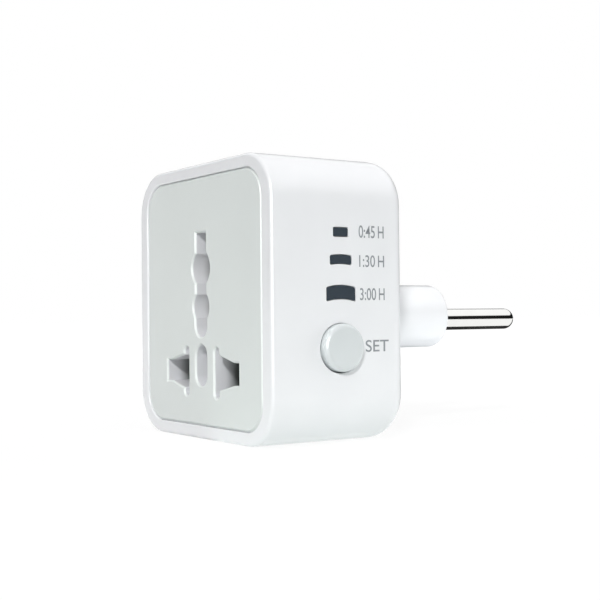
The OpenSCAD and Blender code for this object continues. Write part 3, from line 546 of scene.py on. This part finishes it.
class TIMER_OT_front_case(bpy.types.Operator):
    """White front case with its recess, button hole, windows' holes and posts"""
    bl_idname = "timer.front_case"
    bl_label = "Front case"

    def execute(self, context):
        sizes = context.scene.timer_case
        case = round_box("white_front_case", CASE[0], CASE[1], sizes.corner_radius, 20)
        soften(case, (sizes.front_edge, 6, lambda e: on_plane(e, 1, FRONT_Y)),
               (sizes.rear_edge, 10, lambda e: on_plane(e, 1, BACK_Y)))

        half_w, half_h = SIDE_X, MID_Z
        plate_w, plate_h = PLATE[1].x + sizes.groove, PLATE[1].z - MID_Z + sizes.groove
        corner = context.scene.timer_plate.corner_radius + sizes.groove
        inset = COVER_INSET + COVER_LIP
        hollow_r, opening_r, seat_r = sizes.corner_radius - WALL, 3.6 * MM, 5 * MM
        shroud_gap = 0.3 * MM
        cut(case,
            depth_prism("hollow", rounded(half_w - WALL, half_h - WALL, hollow_r, MID_Z),
                        SHELF_Y + WALL, BACK_Y - WALL),
            depth_prism("plate_recess", rounded(plate_w, plate_h, corner, MID_Z, 16),
                        FRONT_Y - CUT_PAST, SHELF_Y),
            depth_prism("back_opening", rounded(half_w - inset, half_h - inset, opening_r, MID_Z),
                        BACK_Y - WALL - CUT_PAST, BACK_Y + CUT_PAST),
            depth_prism("cover_seat", rounded(half_w - COVER_INSET, half_h - COVER_INSET, seat_r, MID_Z),
                        COVER_FACE, BACK_Y + CUT_PAST),
            depth_prism("shroud_gap", shroud_outline(shroud_gap), SHELF_Y - CUT_PAST,
                        SHELF_Y + WALL + CUT_PAST))
        clean(case)

        def beside_groove(point):
            """Whether a point is on the outline of the plate's recess."""
            x, z = abs(point.co.x), abs(point.co.z - MID_Z)
            in_corner = min(x - plate_w, z - plate_h) > -corner
            return (near(x, plate_w) or near(z, plate_h) or in_corner
                    and math.hypot(x - plate_w + corner, z - plate_h + corner) < corner + 0.02 * MM)

        soften(case, (sizes.rim_edge, 4,
                      lambda e: on_plane(e, 1, FRONT_Y) and all(map(beside_groove, e.verts))))

        ear_x, ear_z, ear_top = 12 * MM, 23.6 * MM, 46.9 * MM
        ears = [(-ear_x, ear_z), (ear_x, ear_z), (0.0, ear_top)]
        post_r, ear_r, peg_r = 2.4 * MM, 2.9 * MM, 2.2 * MM
        root = SHELF_Y + 0.5 * MM
        for across in SCREW_PLACES:
            join(case, start_rod("post", post_r, root, COVER_IN, across))
        for across in ears:
            join(case, start_rod("ear", ear_r, root, SHROUD_Y, across))
        board_x = SIDE_X - WALL - 5.55 * MM
        pegs = [(0, SHROUD_Y + 1.15 * MM, MID_Z - 14.4 * MM),
                (0, COVER_IN - 3.5 * MM, MID_Z + 13.7 * MM)]
        for across in pegs:
            join(case, start_rod("peg", peg_r, board_x, SIDE_X - WALL / 2, across))
        for across in SCREW_PLACES:
            cut(case, start_rod("pilot", PILOT_R, COVER_IN - POST_HOLE, COVER_IN + CUT_PAST, across, 24))
        for across in ears:
            cut(case, start_rod("pilot", PILOT_R, SHELF_Y + CUT_PAST, SHROUD_Y + CUT_PAST, across, 24))
        for across in pegs:
            cut(case, start_rod("pilot", PILOT_R, board_x - CUT_PAST, SIDE_X - WALL, across, 24))

        middle = (BUTTON[0] + BUTTON[1]) / 2
        middle -= Vector((0, 0.1 * MM, 0.12 * MM))  # the cap sits a little high in its hole
        hole_r = 4.88 * MM
        cut(case, start_rod("button_hole", hole_r, SIDE_X - WALL - CUT_PAST, SIDE_X + CUT_PAST,
                            (0, middle.y, middle.z), 80))
        for row in WINDOWS:
            cut(case, window_block("window_hole", row, SIDE_X - WALL - CUT_PAST, SIDE_X + CUT_PAST))
        clean(case)
        reach = 3.6 * MM  # past the ends of the longest window
        low, high = WINDOWS[-1][4] - 2 * MM, WINDOWS[0][4] + 2 * MM

        def at_hole(point):
            """Whether a point is on the outline of the button's hole."""
            return near(math.hypot(point.co.y - middle.y, point.co.z - middle.z), hole_r, 0.02 * MM)

        def at_window(point):
            """Whether a point is in the band of the windows."""
            return abs(point.co.y - WINDOW_Y) < reach and low < point.co.z < high

        soften(case,
               (sizes.hole_edge, 3, lambda e: on_plane(e, 0, SIDE_X) and all(map(at_hole, e.verts))),
               (sizes.window_edge, 2, lambda e: on_plane(e, 0, SIDE_X) and all(map(at_window, e.verts))
                and any(abs(f.normal.x) < 0.5 for f in e.link_faces)))
        settle(case, "front_case", "case", "white ABS, satin moulded")
        return {"FINISHED"}


class TIMER_OT_rear_cover(bpy.types.Operator):
    """Rear cover with the plug boss, its cavity and the screw recesses"""
    bl_idname = "timer.rear_cover"
    bl_label = "Rear cover"

    def execute(self, context):
        cover_r, step_r, edge_r = 4.9 * MM, 3.5 * MM, 0.2 * MM
        half_w, half_h = COVER[1].x, COVER[1].z - MID_Z
        cover = depth_prism("white_rear_cover", rounded(half_w, half_h, cover_r, MID_Z),
                            COVER_FACE, BACK_Y)
        soften(cover, (edge_r, 2, lambda e: on_plane(e, 1, BACK_Y)))
        boss_z, boss_y = PIN_Z + 0.8 * MM, COVER[1].y
        boss_w, boss_r, cavity_w, cavity_r = 13.8 * MM, 7 * MM, 12 * MM, 5.2 * MM
        boss = depth_prism("boss", obround(boss_w, boss_r, boss_z), BACK_Y - 0.5 * MM, boss_y)
        soften(boss, (context.scene.timer_case.boss_edge, 5, lambda e: on_plane(e, 1, boss_y)))
        join(cover, boss,
             depth_prism("step", rounded(half_w - COVER_LIP, half_h - COVER_LIP, step_r, MID_Z),
                         COVER_IN, COVER_FACE + 0.3 * MM))
        boss_in = PIN[0].y + 5.05 * MM
        cut(cover, depth_prism("cavity", obround(cavity_w, cavity_r, boss_z),
                               COVER_IN - CUT_PAST, boss_in))
        bore_r, shank_r, seat_r, seat_depth = 2.15 * MM, 1.2 * MM, 2.2 * MM, 1.2 * MM
        for side in (-1, 1):
            cut(cover, start_rod("pin_bore", bore_r, boss_in - CUT_PAST, boss_y + CUT_PAST,
                                 (side * PIN_X, PIN_Z)))
        cut(cover, start_rod("retainer_bore", PILOT_R, boss_in - CUT_PAST, boss_y - 1 * MM,
                             (0.0, PIN_Z), 24))
        for across in SCREW_PLACES:
            cut(cover,
                start_rod("screw_bore", shank_r, COVER_IN - CUT_PAST, BACK_Y + CUT_PAST, across, 32),
                start_rod("head_seat", seat_r, BACK_Y - seat_depth, BACK_Y + CUT_PAST, across))
        clean(cover)
        settle(cover, "rear_cover", "case", "white ABS, satin moulded")
        return {"FINISHED"}


class TIMER_OT_faceplate(bpy.types.Operator):
    """Socket plate with chamfered edge and openings, and the shrouds behind it"""
    bl_idname = "timer.faceplate"
    bl_label = "Socket plate"

    def execute(self, context):
        sizes = context.scene.timer_plate
        low, high = PLATE
        plate = round_box("grey_socket_plate", low, (high.x, SHELF_Y, high.z), sizes.corner_radius, 16)
        soften(plate, (sizes.edge, 1, lambda e: on_plane(e, 1, low.y)))
        join(plate, depth_prism("shrouds", shroud_outline(0), SHELF_Y - 0.3 * MM, SHROUD_Y))
        for outline in (earth_outline(MID_Z), oval_outline(MID_Z),
                        blade_outline(MID_Z, 1), blade_outline(MID_Z, -1)):
            cut(plate, depth_prism("opening", outline, low.y - CUT_PAST, SHROUD_Y + CUT_PAST))
        clean(plate)
        half, foot = 17 * MM, low.z + 2 * MM  # every opening lies within these
        soften(plate, (sizes.chamfer, 1, lambda e: on_plane(e, 1, low.y)
                       and any(abs(f.normal.y) < 0.5 for f in e.link_faces)
                       and all(abs(v.co.x) < half and v.co.z > foot for v in e.verts)))
        settle(plate, "faceplate", "case", "grey-green ABS, fine satin")
        return {"FINISHED"}


class TIMER_OT_set_button(bpy.types.Operator):
    """Round button cap with a soft edge and its flange"""
    bl_idname = "timer.set_button"
    bl_label = "Button"

    def execute(self, context):
        middle = (BUTTON[0] + BUTTON[1]) / 2
        foot, top = BUTTON[0].x, BUTTON[1].x
        radius, flange, flange_h = 4.7 * MM, 5.55 * MM, 0.85 * MM
        edge, dome = 1.05 * MM, 0.06 * MM
        high = top - foot - dome
        profile = [(0, 0), (0, flange), (flange_h, flange), (flange_h, radius)]
        profile += [(h, r) for r, h in arc(radius - edge, high - edge, edge, 0, 90, 6)]
        profile += [(high + dome * 0.55, radius * 0.5), (high + dome, 0)]
        button = turned("set_button_cap", profile, (foot, middle.y, middle.z), (1, 0, 0), 80)
        settle(button, "set_button", "button", "pale grey ABS, satin cap", angle=40)
        return {"FINISHED"}


class TIMER_OT_windows(bpy.types.Operator):
    """Three smoked time windows with the lip behind each"""
    bl_idname = "timer.windows"
    bl_label = "Time windows"

    def execute(self, context):
        inner, face = SIDE_X - WALL, SIDE_X - 0.1 * MM
        play, edge_r, lip, lip_thick = 0.05 * MM, 0.08 * MM, 0.5 * MM, 0.7 * MM
        for row in WINDOWS:
            name, long, high, bow, z = row
            lens = window_block("smoked_" + name, row, inner - 0.2 * MM, face, play)
            soften(lens, (edge_r, 2, lambda e: on_plane(e, 0, face)))
            middle, wide, tall = z + bow / 2, long / 2 + lip, (high + bow) / 2 + lip
            join(lens, start_box("lip", (inner - lip_thick, WINDOW_Y - wide, middle - tall),
                                 (inner, WINDOW_Y + wide, middle + tall)))
            clean(lens)
            settle(lens, name, "case", "smoked acrylic, gloss")
        return {"FINISHED"}


class TIMER_OT_plug_pins(bpy.types.Operator):
    """Two turned plug pins with round tips, necks and solder cups"""
    bl_idname = "timer.plug_pins"
    bl_label = "Plug pins"

    def execute(self, context):
        foot, tip = PIN[0].y, PIN[1].y
        wall_in, wall_out = 5.1 * MM, COVER[1].y - foot
        cup, cup_r, tail_r, chamfer = 2.8 * MM, 1.1 * MM, 2 * MM, 0.15 * MM
        neck, neck_r, bore_r = 3.4 * MM, 1.7 * MM, 2.1 * MM
        profile = [(cup, 0), (cup, cup_r), (0, cup_r), (0, tail_r - chamfer), (chamfer, tail_r),
                   (neck, tail_r), (neck, neck_r), (wall_in, neck_r), (wall_in, bore_r),
                   (wall_out, bore_r), (wall_out, PIN_R - chamfer), (wall_out + chamfer, PIN_R)]
        profile += [(y, r) for r, y in arc(0, tip - foot - PIN_R, PIN_R, 0, 85, 17)] + [(tip - foot, 0)]
        right = turned("plug_pin_right_turned", profile, (PIN_X, foot, PIN_Z), (0, 1, 0), 72)
        left = copy_at(right, "plug_pin_left_turned", (-2 * PIN_X, 0, 0))
        for pin, node in ((right, "plug_pin_right"), (left, "plug_pin_left")):
            settle(pin, node, "case", "brass, bright nickel plate")
        return {"FINISHED"}


class TIMER_OT_case_screws(bpy.types.Operator):
    """Four pan-head case screws with cross recesses"""
    bl_idname = "timer.case_screws"
    bl_label = "Case screws"

    def execute(self, context):
        head_r, head_h, shank = 2.1 * MM, 1.1 * MM, 1.1 * MM
        slot_w, slot_t, depth = 1.25 * MM, 0.3 * MM, 0.55 * MM
        foot, top = SCREWS[0].y, SCREWS[1].y
        under = top - foot - head_h
        profile = [(0, 0), (0.9 * MM, shank * 0.8), (1.2 * MM, shank), (under, shank), (under, head_r),
                   (under + 0.45 * MM, head_r), (under + 0.8 * MM, head_r * 0.9),
                   (under + 1.0 * MM, head_r * 0.68), (top - foot, head_r * 0.3), (top - foot, 0)]
        x, z = SCREW_PLACES[0]
        screw = turned("case_screws_pan_head", profile, (x, foot, z), (0, 1, 0), 40)
        for half_x, half_z in ((slot_w, slot_t), (slot_t, slot_w)):
            cut(screw, start_box("slot", (x - half_x, top - depth, z - half_z),
                                 (x + half_x, top + CUT_PAST, z + half_z)))
        clean(screw)
        copies = [copy_at(screw, "screw_copy", (other_x - x, 0, other_z - z))
                  for other_x, other_z in SCREW_PLACES[1:]]
        hold(screw)
        for copy in copies:
            copy.select_set(True)
        bpy.ops.object.join()
        settle(screw, "case_screws", "case", "steel, zinc plate")
        return {"FINISHED"}


MARKS = (  # words, near and far end along Y, lowest and highest point
    ("0:45 H", 3.88 * MM, 10.1 * MM, 40.5 * MM, 42.95 * MM),
    ("1:30 H", 3.95 * MM, 10.15 * MM, 34.75 * MM, 37.1 * MM),
    ("3:00 H", 4.06 * MM, 10.2 * MM, 28.2 * MM, 30.6 * MM),
    ("SET", 5.35 * MM, 11.1 * MM, 18.0 * MM, 20.35 * MM),
)


class TIMER_OT_marks(bpy.types.Operator):
    """Plain printed marks beside the windows and the button"""
    bl_idname = "timer.marks"
    bl_label = "Printed marks"

    def execute(self, context):
        for i, (words, near_y, far_y, low, high) in enumerate(MARKS):
            deselect()
            bpy.ops.object.text_add()
            mark = context.object
            mark.data.body = words
            mark.data.size = 3 * MM
            mark.data.extrude = TEXT_LIFT / 2
            mark.data.offset = 0.015 * MM
            mark.data.space_word = 0.7
            bpy.ops.object.convert(target="MESH")
            mark = context.object
            mark.name = mark.data.name = f"printed_mark_{i + 1}"
            corners = [Vector(c) for c in mark.bound_box]
            left, right = min(c.x for c in corners), max(c.x for c in corners)
            foot, top = min(c.y for c in corners), max(c.y for c in corners)
            wide, tall = (far_y - near_y) / (right - left), (high - low) / (top - foot)
            mark.scale = (wide, tall, 1)
            mark.rotation_euler = (math.radians(90), 0, math.radians(90))
            mark.location = (SIDE_X + TEXT_LIFT / 2, near_y - left * wide, low - foot * tall)
            bpy.ops.object.transform_apply(location=True, rotation=True, scale=True)
            mark.data.materials.append(bpy.data.materials["pad-printed ink, grey"])
            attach(mark, "case")
            deselect()
        return {"FINISHED"}


# ---------------------------------------------------------------- finishes of every piece

def board_paint(tree, where, colour):
    """Copper tracks under the mask and tinned pads, on the board's two faces."""
    swap = add(tree, "ShaderNodeMapping", {"Vector": where, "Rotation": (0, math.radians(90), 0)})
    tracks = add(tree, "ShaderNodeTexBrick", {
        "Vector": swap.outputs["Vector"], "Scale": 1 / (2.54 * MM), "Mortar Size": 0.12, "Bias": 0.0,
        "Brick Width": 2.6, "Row Height": 0.8})
    pads = add(tree, "ShaderNodeTexVoronoi", {
        "Vector": where, "Scale": 1 / (3.2 * MM), "Randomness": 0.35})
    spot = reckon(tree, "LESS_THAN", pads.outputs["Distance"], 0.17)
    colour = over_colour(tree, tracks.outputs["Fac"], colour, "#3F8A57")
    return over_colour(tree, spot, colour, "#B9BDBE")


def winding_paint(tree, where, colour):
    """Turns of enamelled wire, 0.25 mm apart so that they show."""
    turns = add(tree, "ShaderNodeTexWave", {
        "Vector": where, "Scale": 0.314 / (0.25 * MM), "Distortion": 0.2}, bands_direction="Z")
    return over_colour(tree, turns.outputs["Fac"], colour, "#6E2F16")


def ends_paint(low, high, top):
    """A painter that lays a colour on what is under one height or over another."""
    def paint(tree, where, colour):
        ends = reckon(tree, "SUBTRACT", 1.0, between(tree, where, "Z", low, high))
        return over_colour(tree, ends, colour, top)
    return paint


def wall_tone_and_painted_shade(tree, where, colour):
    """Lighter walls just inside the socket openings, with painted shade that darkens them towards the
    throat.
    """
    face = PLATE[0].y
    walls = between(tree, where, "Y", face + 0.4 * MM, SHROUD_Y + CUT_PAST)
    split = add(tree, "ShaderNodeSeparateXYZ", {"Vector": where})
    painted_shade_depth = add(tree, "ShaderNodeMapRange", {
        "Value": split.outputs["Y"], "From Min": face + 2.5 * MM, "From Max": face + 6.2 * MM},
        interpolation_type="SMOOTHSTEP")
    colour = over_colour(tree, walls, colour, "#E4E5E8")
    # painted shade: the walls turn dark green-grey with depth, standing in for the shadow inside the
    # openings
    return over_colour(tree, painted_shade_depth.outputs["Result"], colour, "#4C5654")


def make_finishes(colours):
    """Makes every finish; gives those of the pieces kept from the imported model, by their names."""
    # Satin ABS from a spark-eroded mould: soft sheen, no visible grain at arm's length
    plastic("white ABS, satin moulded", colours.case, (0.2, 0.28), 0.5 * MM, 0.0015 * MM)
    # The same plastic with a finer, duller surface: its highlights spread wide. Painted shade darkens its
    # openings towards the throat
    plastic("grey-green ABS, fine satin", colours.plate, (0.4, 0.48), 0.35 * MM, 0.002 * MM,
            paint=wall_tone_and_painted_shade)
    # Pressed often, so a little smoother than the plate
    plastic("pale grey ABS, satin cap", colours.button, (0.2, 0.26), 0.4 * MM, 0.0015 * MM)
    # Deep tint, polished: almost black with a clear reflection
    plastic("smoked acrylic, gloss", colours.window, (0.05, 0.08), 1.5 * MM, 0.0005 * MM, 1.49)
    # Thin ink that covers a little unevenly
    surface("pad-printed ink, grey", scaled(colours.ink, 0.9), scaled(colours.ink, 1.1), 0.6 * MM,
            0.1 * MM, 0.001 * MM, (0.5, 0.6), IOR=1.48)
    # Plated and polished: a mirror with the faint lines of turning
    metal("brass, bright nickel plate", colours.pin, (0.06, 0.1), 0.5 * MM, 0.0004 * MM)
    metal("steel, zinc plate", "#C4C7CA", (0.22, 0.34), 0.25 * MM)
    glass_low, glass_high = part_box("fuse")
    cap = 2.2 * MM
    can_low, can_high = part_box("electrolytic_capacitor")
    return {
        # Heat-proof moulding, duller than the case
        "contact_block": plastic("nylon, glass filled", "#5C605E", (0.5, 0.62), 0.25 * MM, 0.006 * MM),
        "live_contact neutral_contact earth_contact relay_fixed_contact":
            metal("phosphor bronze, rolled strip", "#D9A85C", (0.2, 0.32), 0.2 * MM),
        "pin_retainer": metal("steel, stamped plate", "#B4B7BA", (0.25, 0.4), 0.3 * MM),
        "retainer_screw board_screws block_screws": bpy.data.materials["steel, zinc plate"],
        "circuit_board": surface("glass epoxy, green mask", "#1F5A38", "#29693F", 5 * MM, 0.4 * MM,
                                 0.004 * MM, (0.3, 0.4), board_paint, IOR=1.5),
        "relay_cover": plastic("polyester, blue relay cover", "#2C4F7C", (0.35, 0.45)),
        "relay_base": plastic("polyester, dark relay base", "#2E3238", (0.4, 0.5)),
        "relay_coil": surface("copper, enamelled winding", "#B5562C", "#C96A3A", 2 * MM, 0.2 * MM,
                              0.004 * MM, (0.25, 0.35), winding_paint, Metallic=0.7),
        "relay_yoke relay_armature": metal("soft iron, zinc plate", "#A9ADB0", (0.25, 0.38)),
        "film_capacitor": plastic("epoxy, yellow dipped", "#D9A92B", (0.2, 0.3), 1.2 * MM, 0.01 * MM),
        "electrolytic_capacitor": surface(
            "vinyl sleeve, dark with aluminium top", "#23262C", "#2B2F36", 6 * MM, 0.3 * MM, 0.002 * MM,
            (0.22, 0.32), ends_paint(can_low.z, can_high.z - 0.3 * MM, "#B8BBBE"), IOR=1.53),
        "varistor": plastic("epoxy, blue dipped disc", "#2F6FA8", (0.25, 0.38), 0.9 * MM, 0.01 * MM),
        "fuse": surface(
            "glass fuse with nickel caps", "#C9D3D2", "#D8E0DF", 4 * MM, 0.5 * MM, 0.001 * MM,
            (0.08, 0.14), ends_paint(glass_low.z + cap, glass_high.z - cap, "#A8AAA9"), IOR=1.5),
        "controller_chip rectifier_diodes driver_transistor":
            plastic("epoxy, moulded black package", "#1D1F22", (0.45, 0.6), 0.15 * MM, 0.005 * MM),
        "chip_resistors": plastic("alumina chip, dark glaze", "#2A2C30", (0.3, 0.45), 0.2 * MM),
        "tact_switch": plastic("nylon, black switch body", "#232529", (0.4, 0.52)),
        "tact_plunger": plastic("acetal, grey plunger", "#6E7276", (0.3, 0.4)),
        "led_045 led_130 led_300": plastic("diffused epoxy, cream lamp", "#E8E4C8", (0.15, 0.25)),
        "light_baffle": plastic("ABS, black baffle", "#1C1D20", (0.5, 0.65), 0.3 * MM, 0.006 * MM),
        "lead_live lead_switched":
            plastic("vinyl wire, brown", "#7A4B31", (0.38, 0.5), 0.8 * MM, 0.004 * MM),
        "lead_neutral lead_neutral_board":
            plastic("vinyl wire, blue", "#2F62AE", (0.38, 0.5), 0.8 * MM, 0.004 * MM),
    }


class TIMER_OT_finishes(bpy.types.Operator):
    """Finishes of every piece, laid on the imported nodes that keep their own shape"""
    bl_idname = "timer.finishes"
    bl_label = "Finishes"

    def execute(self, context):
        for names, material in make_finishes(context.scene.timer_colours).items():
            for name in names.split():
                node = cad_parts[name]
                node.data.materials.clear()
                node.data.materials.append(material)
        return {"FINISHED"}


# ---------------------------------------------------------------- stage

def softbox(name, place, target, size, energy, colour="#FFFFFF", shine=False):
    """A square area lamp that points at a target; `shine` says whether reflections show it."""
    deselect()
    turn = (Vector(target) - Vector(place)).to_track_quat("-Z", "Y").to_euler()
    bpy.ops.object.light_add(type="AREA", location=place, rotation=turn)
    lamp = bpy.context.object
    lamp.name = lamp.data.name = name
    lamp.data.shape = "SQUARE"
    lamp.data.size = size
    lamp.data.energy = energy
    lamp.data.color = linear(colour)[:3]
    lamp.visible_camera, lamp.visible_glossy = False, shine
    return lamp


class TIMER_OT_stage(bpy.types.Operator):
    """Pale floor, soft studio light and the camera"""
    bl_idname = "timer.stage"
    bl_label = "Stage"

    def execute(self, context):
        stage = context.scene.timer_stage
        self.make_floor()
        self.make_card()
        self.make_sky(context, stage)
        self.make_lamps(stage)
        self.make_camera(context, stage)
        context.scene.view_settings.view_transform = "Standard"
        return {"FINISHED"}

    def make_lamps(self, stage):
        """Lamps for the faces in view, for the highlights, and for the roundings near the floor."""
        middle, above = (0, 0, MID_Z), 1.0
        beside, behind = (0.085, 0.0), (0.02, 0.056)
        boss_share = 0.28  # the boss lamp's power as a share of the low lamp's
        softbox("key_lamp", (1.5, -1.35, 1.25), middle, 0.26, stage.key, shine=True)
        glint = softbox("glint_lamp", (0.78, -0.92, 0.3), middle, 0.8, stage.glint, shine=True)
        glint.visible_diffuse = False
        softbox("front_lamp", (-0.2, -0.15, 0.035), middle, 0.12, stage.front)
        softbox("back_lamp", (0.22, 0.95, 0.1), middle, 0.5, stage.back)
        softbox("top_lamp", (0.1, -0.05, 1.0), middle, 0.9, stage.top)
        softbox("low_lamp", (*beside, -0.02 * MM), (*beside, above), 0.16, stage.low, "#F0FFF8")
        softbox("boss_lamp", (*behind, 1 * MM), (*behind, above), 0.05, stage.low * boss_share,
                "#F8F8FF")

    def make_camera(self, context, stage):
        """Camera turned by its heading, tilt and roll."""
        deselect()
        bpy.ops.object.camera_add(location=stage.camera_place)
        camera = context.object
        camera.name = camera.data.name = "camera"
        camera.data.lens = stage.lens
        camera.data.sensor_width = 36
        camera.data.clip_start = 0.01
        heading, tilt, roll = stage.camera_turn
        flat = math.cos(tilt)
        ahead = Vector((-math.sin(heading) * flat, math.cos(heading) * flat, math.sin(tilt)))
        level_right = Vector((math.cos(heading), math.sin(heading), 0))
        level_up = level_right.cross(ahead)
        right = level_right * math.cos(roll) + level_up * math.sin(roll)
        up = level_up * math.cos(roll) - level_right * math.sin(roll)
        turn = Matrix((right, up, -ahead)).transposed()
        camera.rotation_euler = turn.to_euler()
        context.scene.camera = camera

    def make_floor(self):
        """Painted floor that shows as white to the camera and keeps a faint shadow round the object."""
        deselect()
        bpy.ops.mesh.primitive_plane_add(size=8, location=(0, 0, -0.05 * MM))
        floor = named("floor")
        material, tree, where = blank("white floor")
        drift = add(tree, "ShaderNodeTexNoise", {"Vector": where, "Scale": 3.0})
        tone = add(tree, "ShaderNodeMix", {
            0: drift.outputs["Fac"], 6: linear("#D6D6D6"), 7: linear("#DADADA")}, data_type="RGBA")
        paint = add(tree, "ShaderNodeBsdfDiffuse", {"Color": tone.outputs[2]})
        glow = add(tree, "ShaderNodeEmission", {"Color": (1, 1, 1, 1), "Strength": 1.06})
        ray = add(tree, "ShaderNodeLightPath")
        away = add(tree, "ShaderNodeVectorMath", {0: where}, operation="LENGTH")
        white = add(tree, "ShaderNodeMapRange", {"Value": away.outputs["Value"], "From Min": 0.07,
                                                 "From Max": 0.3, "To Min": 0.86, "To Max": 1.0})
        seen = reckon(tree, "MULTIPLY", ray.outputs["Is Camera Ray"], white.outputs["Result"])
        share = reckon(tree, "MAXIMUM", seen, ray.outputs["Is Glossy Ray"])
        both = add(tree, "ShaderNodeMixShader", {0: share, 1: paint.outputs[0], 2: glow.outputs[0]})
        add(tree, "ShaderNodeOutputMaterial", {"Surface": both.outputs[0]})
        floor.data.materials.append(material)

    def make_card(self):
        """Matt black card on the floor behind the plug, seen only in the polished pins."""
        card = start_box("black_card", (-0.5, 0.045, 0.1 * MM), (0.012, 0.6, 0.4 * MM))
        card.data.materials.append(plastic("card, matt black", "#050505", (0.9, 1.0)))
        card.visible_camera = card.visible_diffuse = card.visible_shadow = False

    def make_sky(self, context, stage):
        """White to the camera, a soft light to everything else, and a dark band for polished metal."""
        world = bpy.data.worlds.new("studio")
        context.scene.world = world
        world.use_nodes = True
        tree = world.node_tree
        tree.nodes.clear()
        ray = add(tree, "ShaderNodeLightPath")
        way = add(tree, "ShaderNodeTexCoord").outputs["Generated"]
        height = add(tree, "ShaderNodeSeparateXYZ", {"Vector": way}).outputs["Z"]
        band = add(tree, "ShaderNodeValToRGB", {"Fac": height})
        stops = ((0.42, (0.01, 0.01, 0.01, 1)), (0.48, (1, 1, 1, 1)))
        for stop, (place, colour) in zip(band.color_ramp.elements, stops):
            stop.position, stop.color = place, colour
        white = add(tree, "ShaderNodeBackground", {"Color": (1, 1, 1, 1), "Strength": 1.0})
        mirror = add(tree, "ShaderNodeBackground", {"Color": band.outputs["Color"], "Strength": 1.12})
        soft = add(tree, "ShaderNodeBackground", {"Color": linear("#FCFDFF"), "Strength": stage.sky})
        clear = reckon(tree, "MAXIMUM", ray.outputs["Is Camera Ray"], ray.outputs["Is Transmission Ray"])
        first = add(tree, "ShaderNodeMixShader", {0: ray.outputs["Is Glossy Ray"], 1: soft.outputs[0],
                                                  2: mirror.outputs[0]})
        both = add(tree, "ShaderNodeMixShader", {0: clear, 1: first.outputs[0], 2: white.outputs[0]})
        add(tree, "ShaderNodeOutputWorld", {"Surface": both.outputs[0]})


# ---------------------------------------------------------------- panel and start

STEPS = (TIMER_OT_finishes, TIMER_OT_front_case, TIMER_OT_rear_cover, TIMER_OT_faceplate,
         TIMER_OT_set_button, TIMER_OT_windows, TIMER_OT_plug_pins, TIMER_OT_case_screws,
         TIMER_OT_marks, TIMER_OT_stage)
GROUPS = {"timer_case": TimerCaseSizes, "timer_plate": TimerPlateSizes, "timer_colours": TimerColours,
          "timer_stage": TimerStage}


class TIMER_PT_panel(bpy.types.Panel):
    """Lists the timer switch's sizes, colours and steps"""
    bl_label = "Timer Switch"
    bl_idname = "TIMER_PT_panel"
    bl_space_type = "VIEW_3D"
    bl_region_type = "UI"
    bl_category = "Timer Switch"

    def draw(self, context):
        for name, group in GROUPS.items():
            box = self.layout.box()
            for field in group.__annotations__:
                box.prop(getattr(context.scene, name), field)
        for step in STEPS:
            self.layout.operator(step.bl_idname)


def register():
    """Registers the classes and hangs each group of values on the scene."""
    for cls in (*GROUPS.values(), *STEPS, TIMER_PT_panel):
        bpy.utils.register_class(cls)
    for name, group in GROUPS.items():
        setattr(bpy.types.Scene, name, bpy.props.PointerProperty(type=group))


def unregister():
    """Takes back what register() did."""
    for name in GROUPS:
        delattr(bpy.types.Scene, name)
    for cls in reversed((*GROUPS.values(), *STEPS, TIMER_PT_panel)):
        bpy.utils.unregister_class(cls)


def main():
    """Builds every piece and the stage."""
    register()
    for step in STEPS:
        group, name = step.bl_idname.split(".")
        getattr(getattr(bpy.ops, group), name)()


if __name__ == "__main__":
    main()
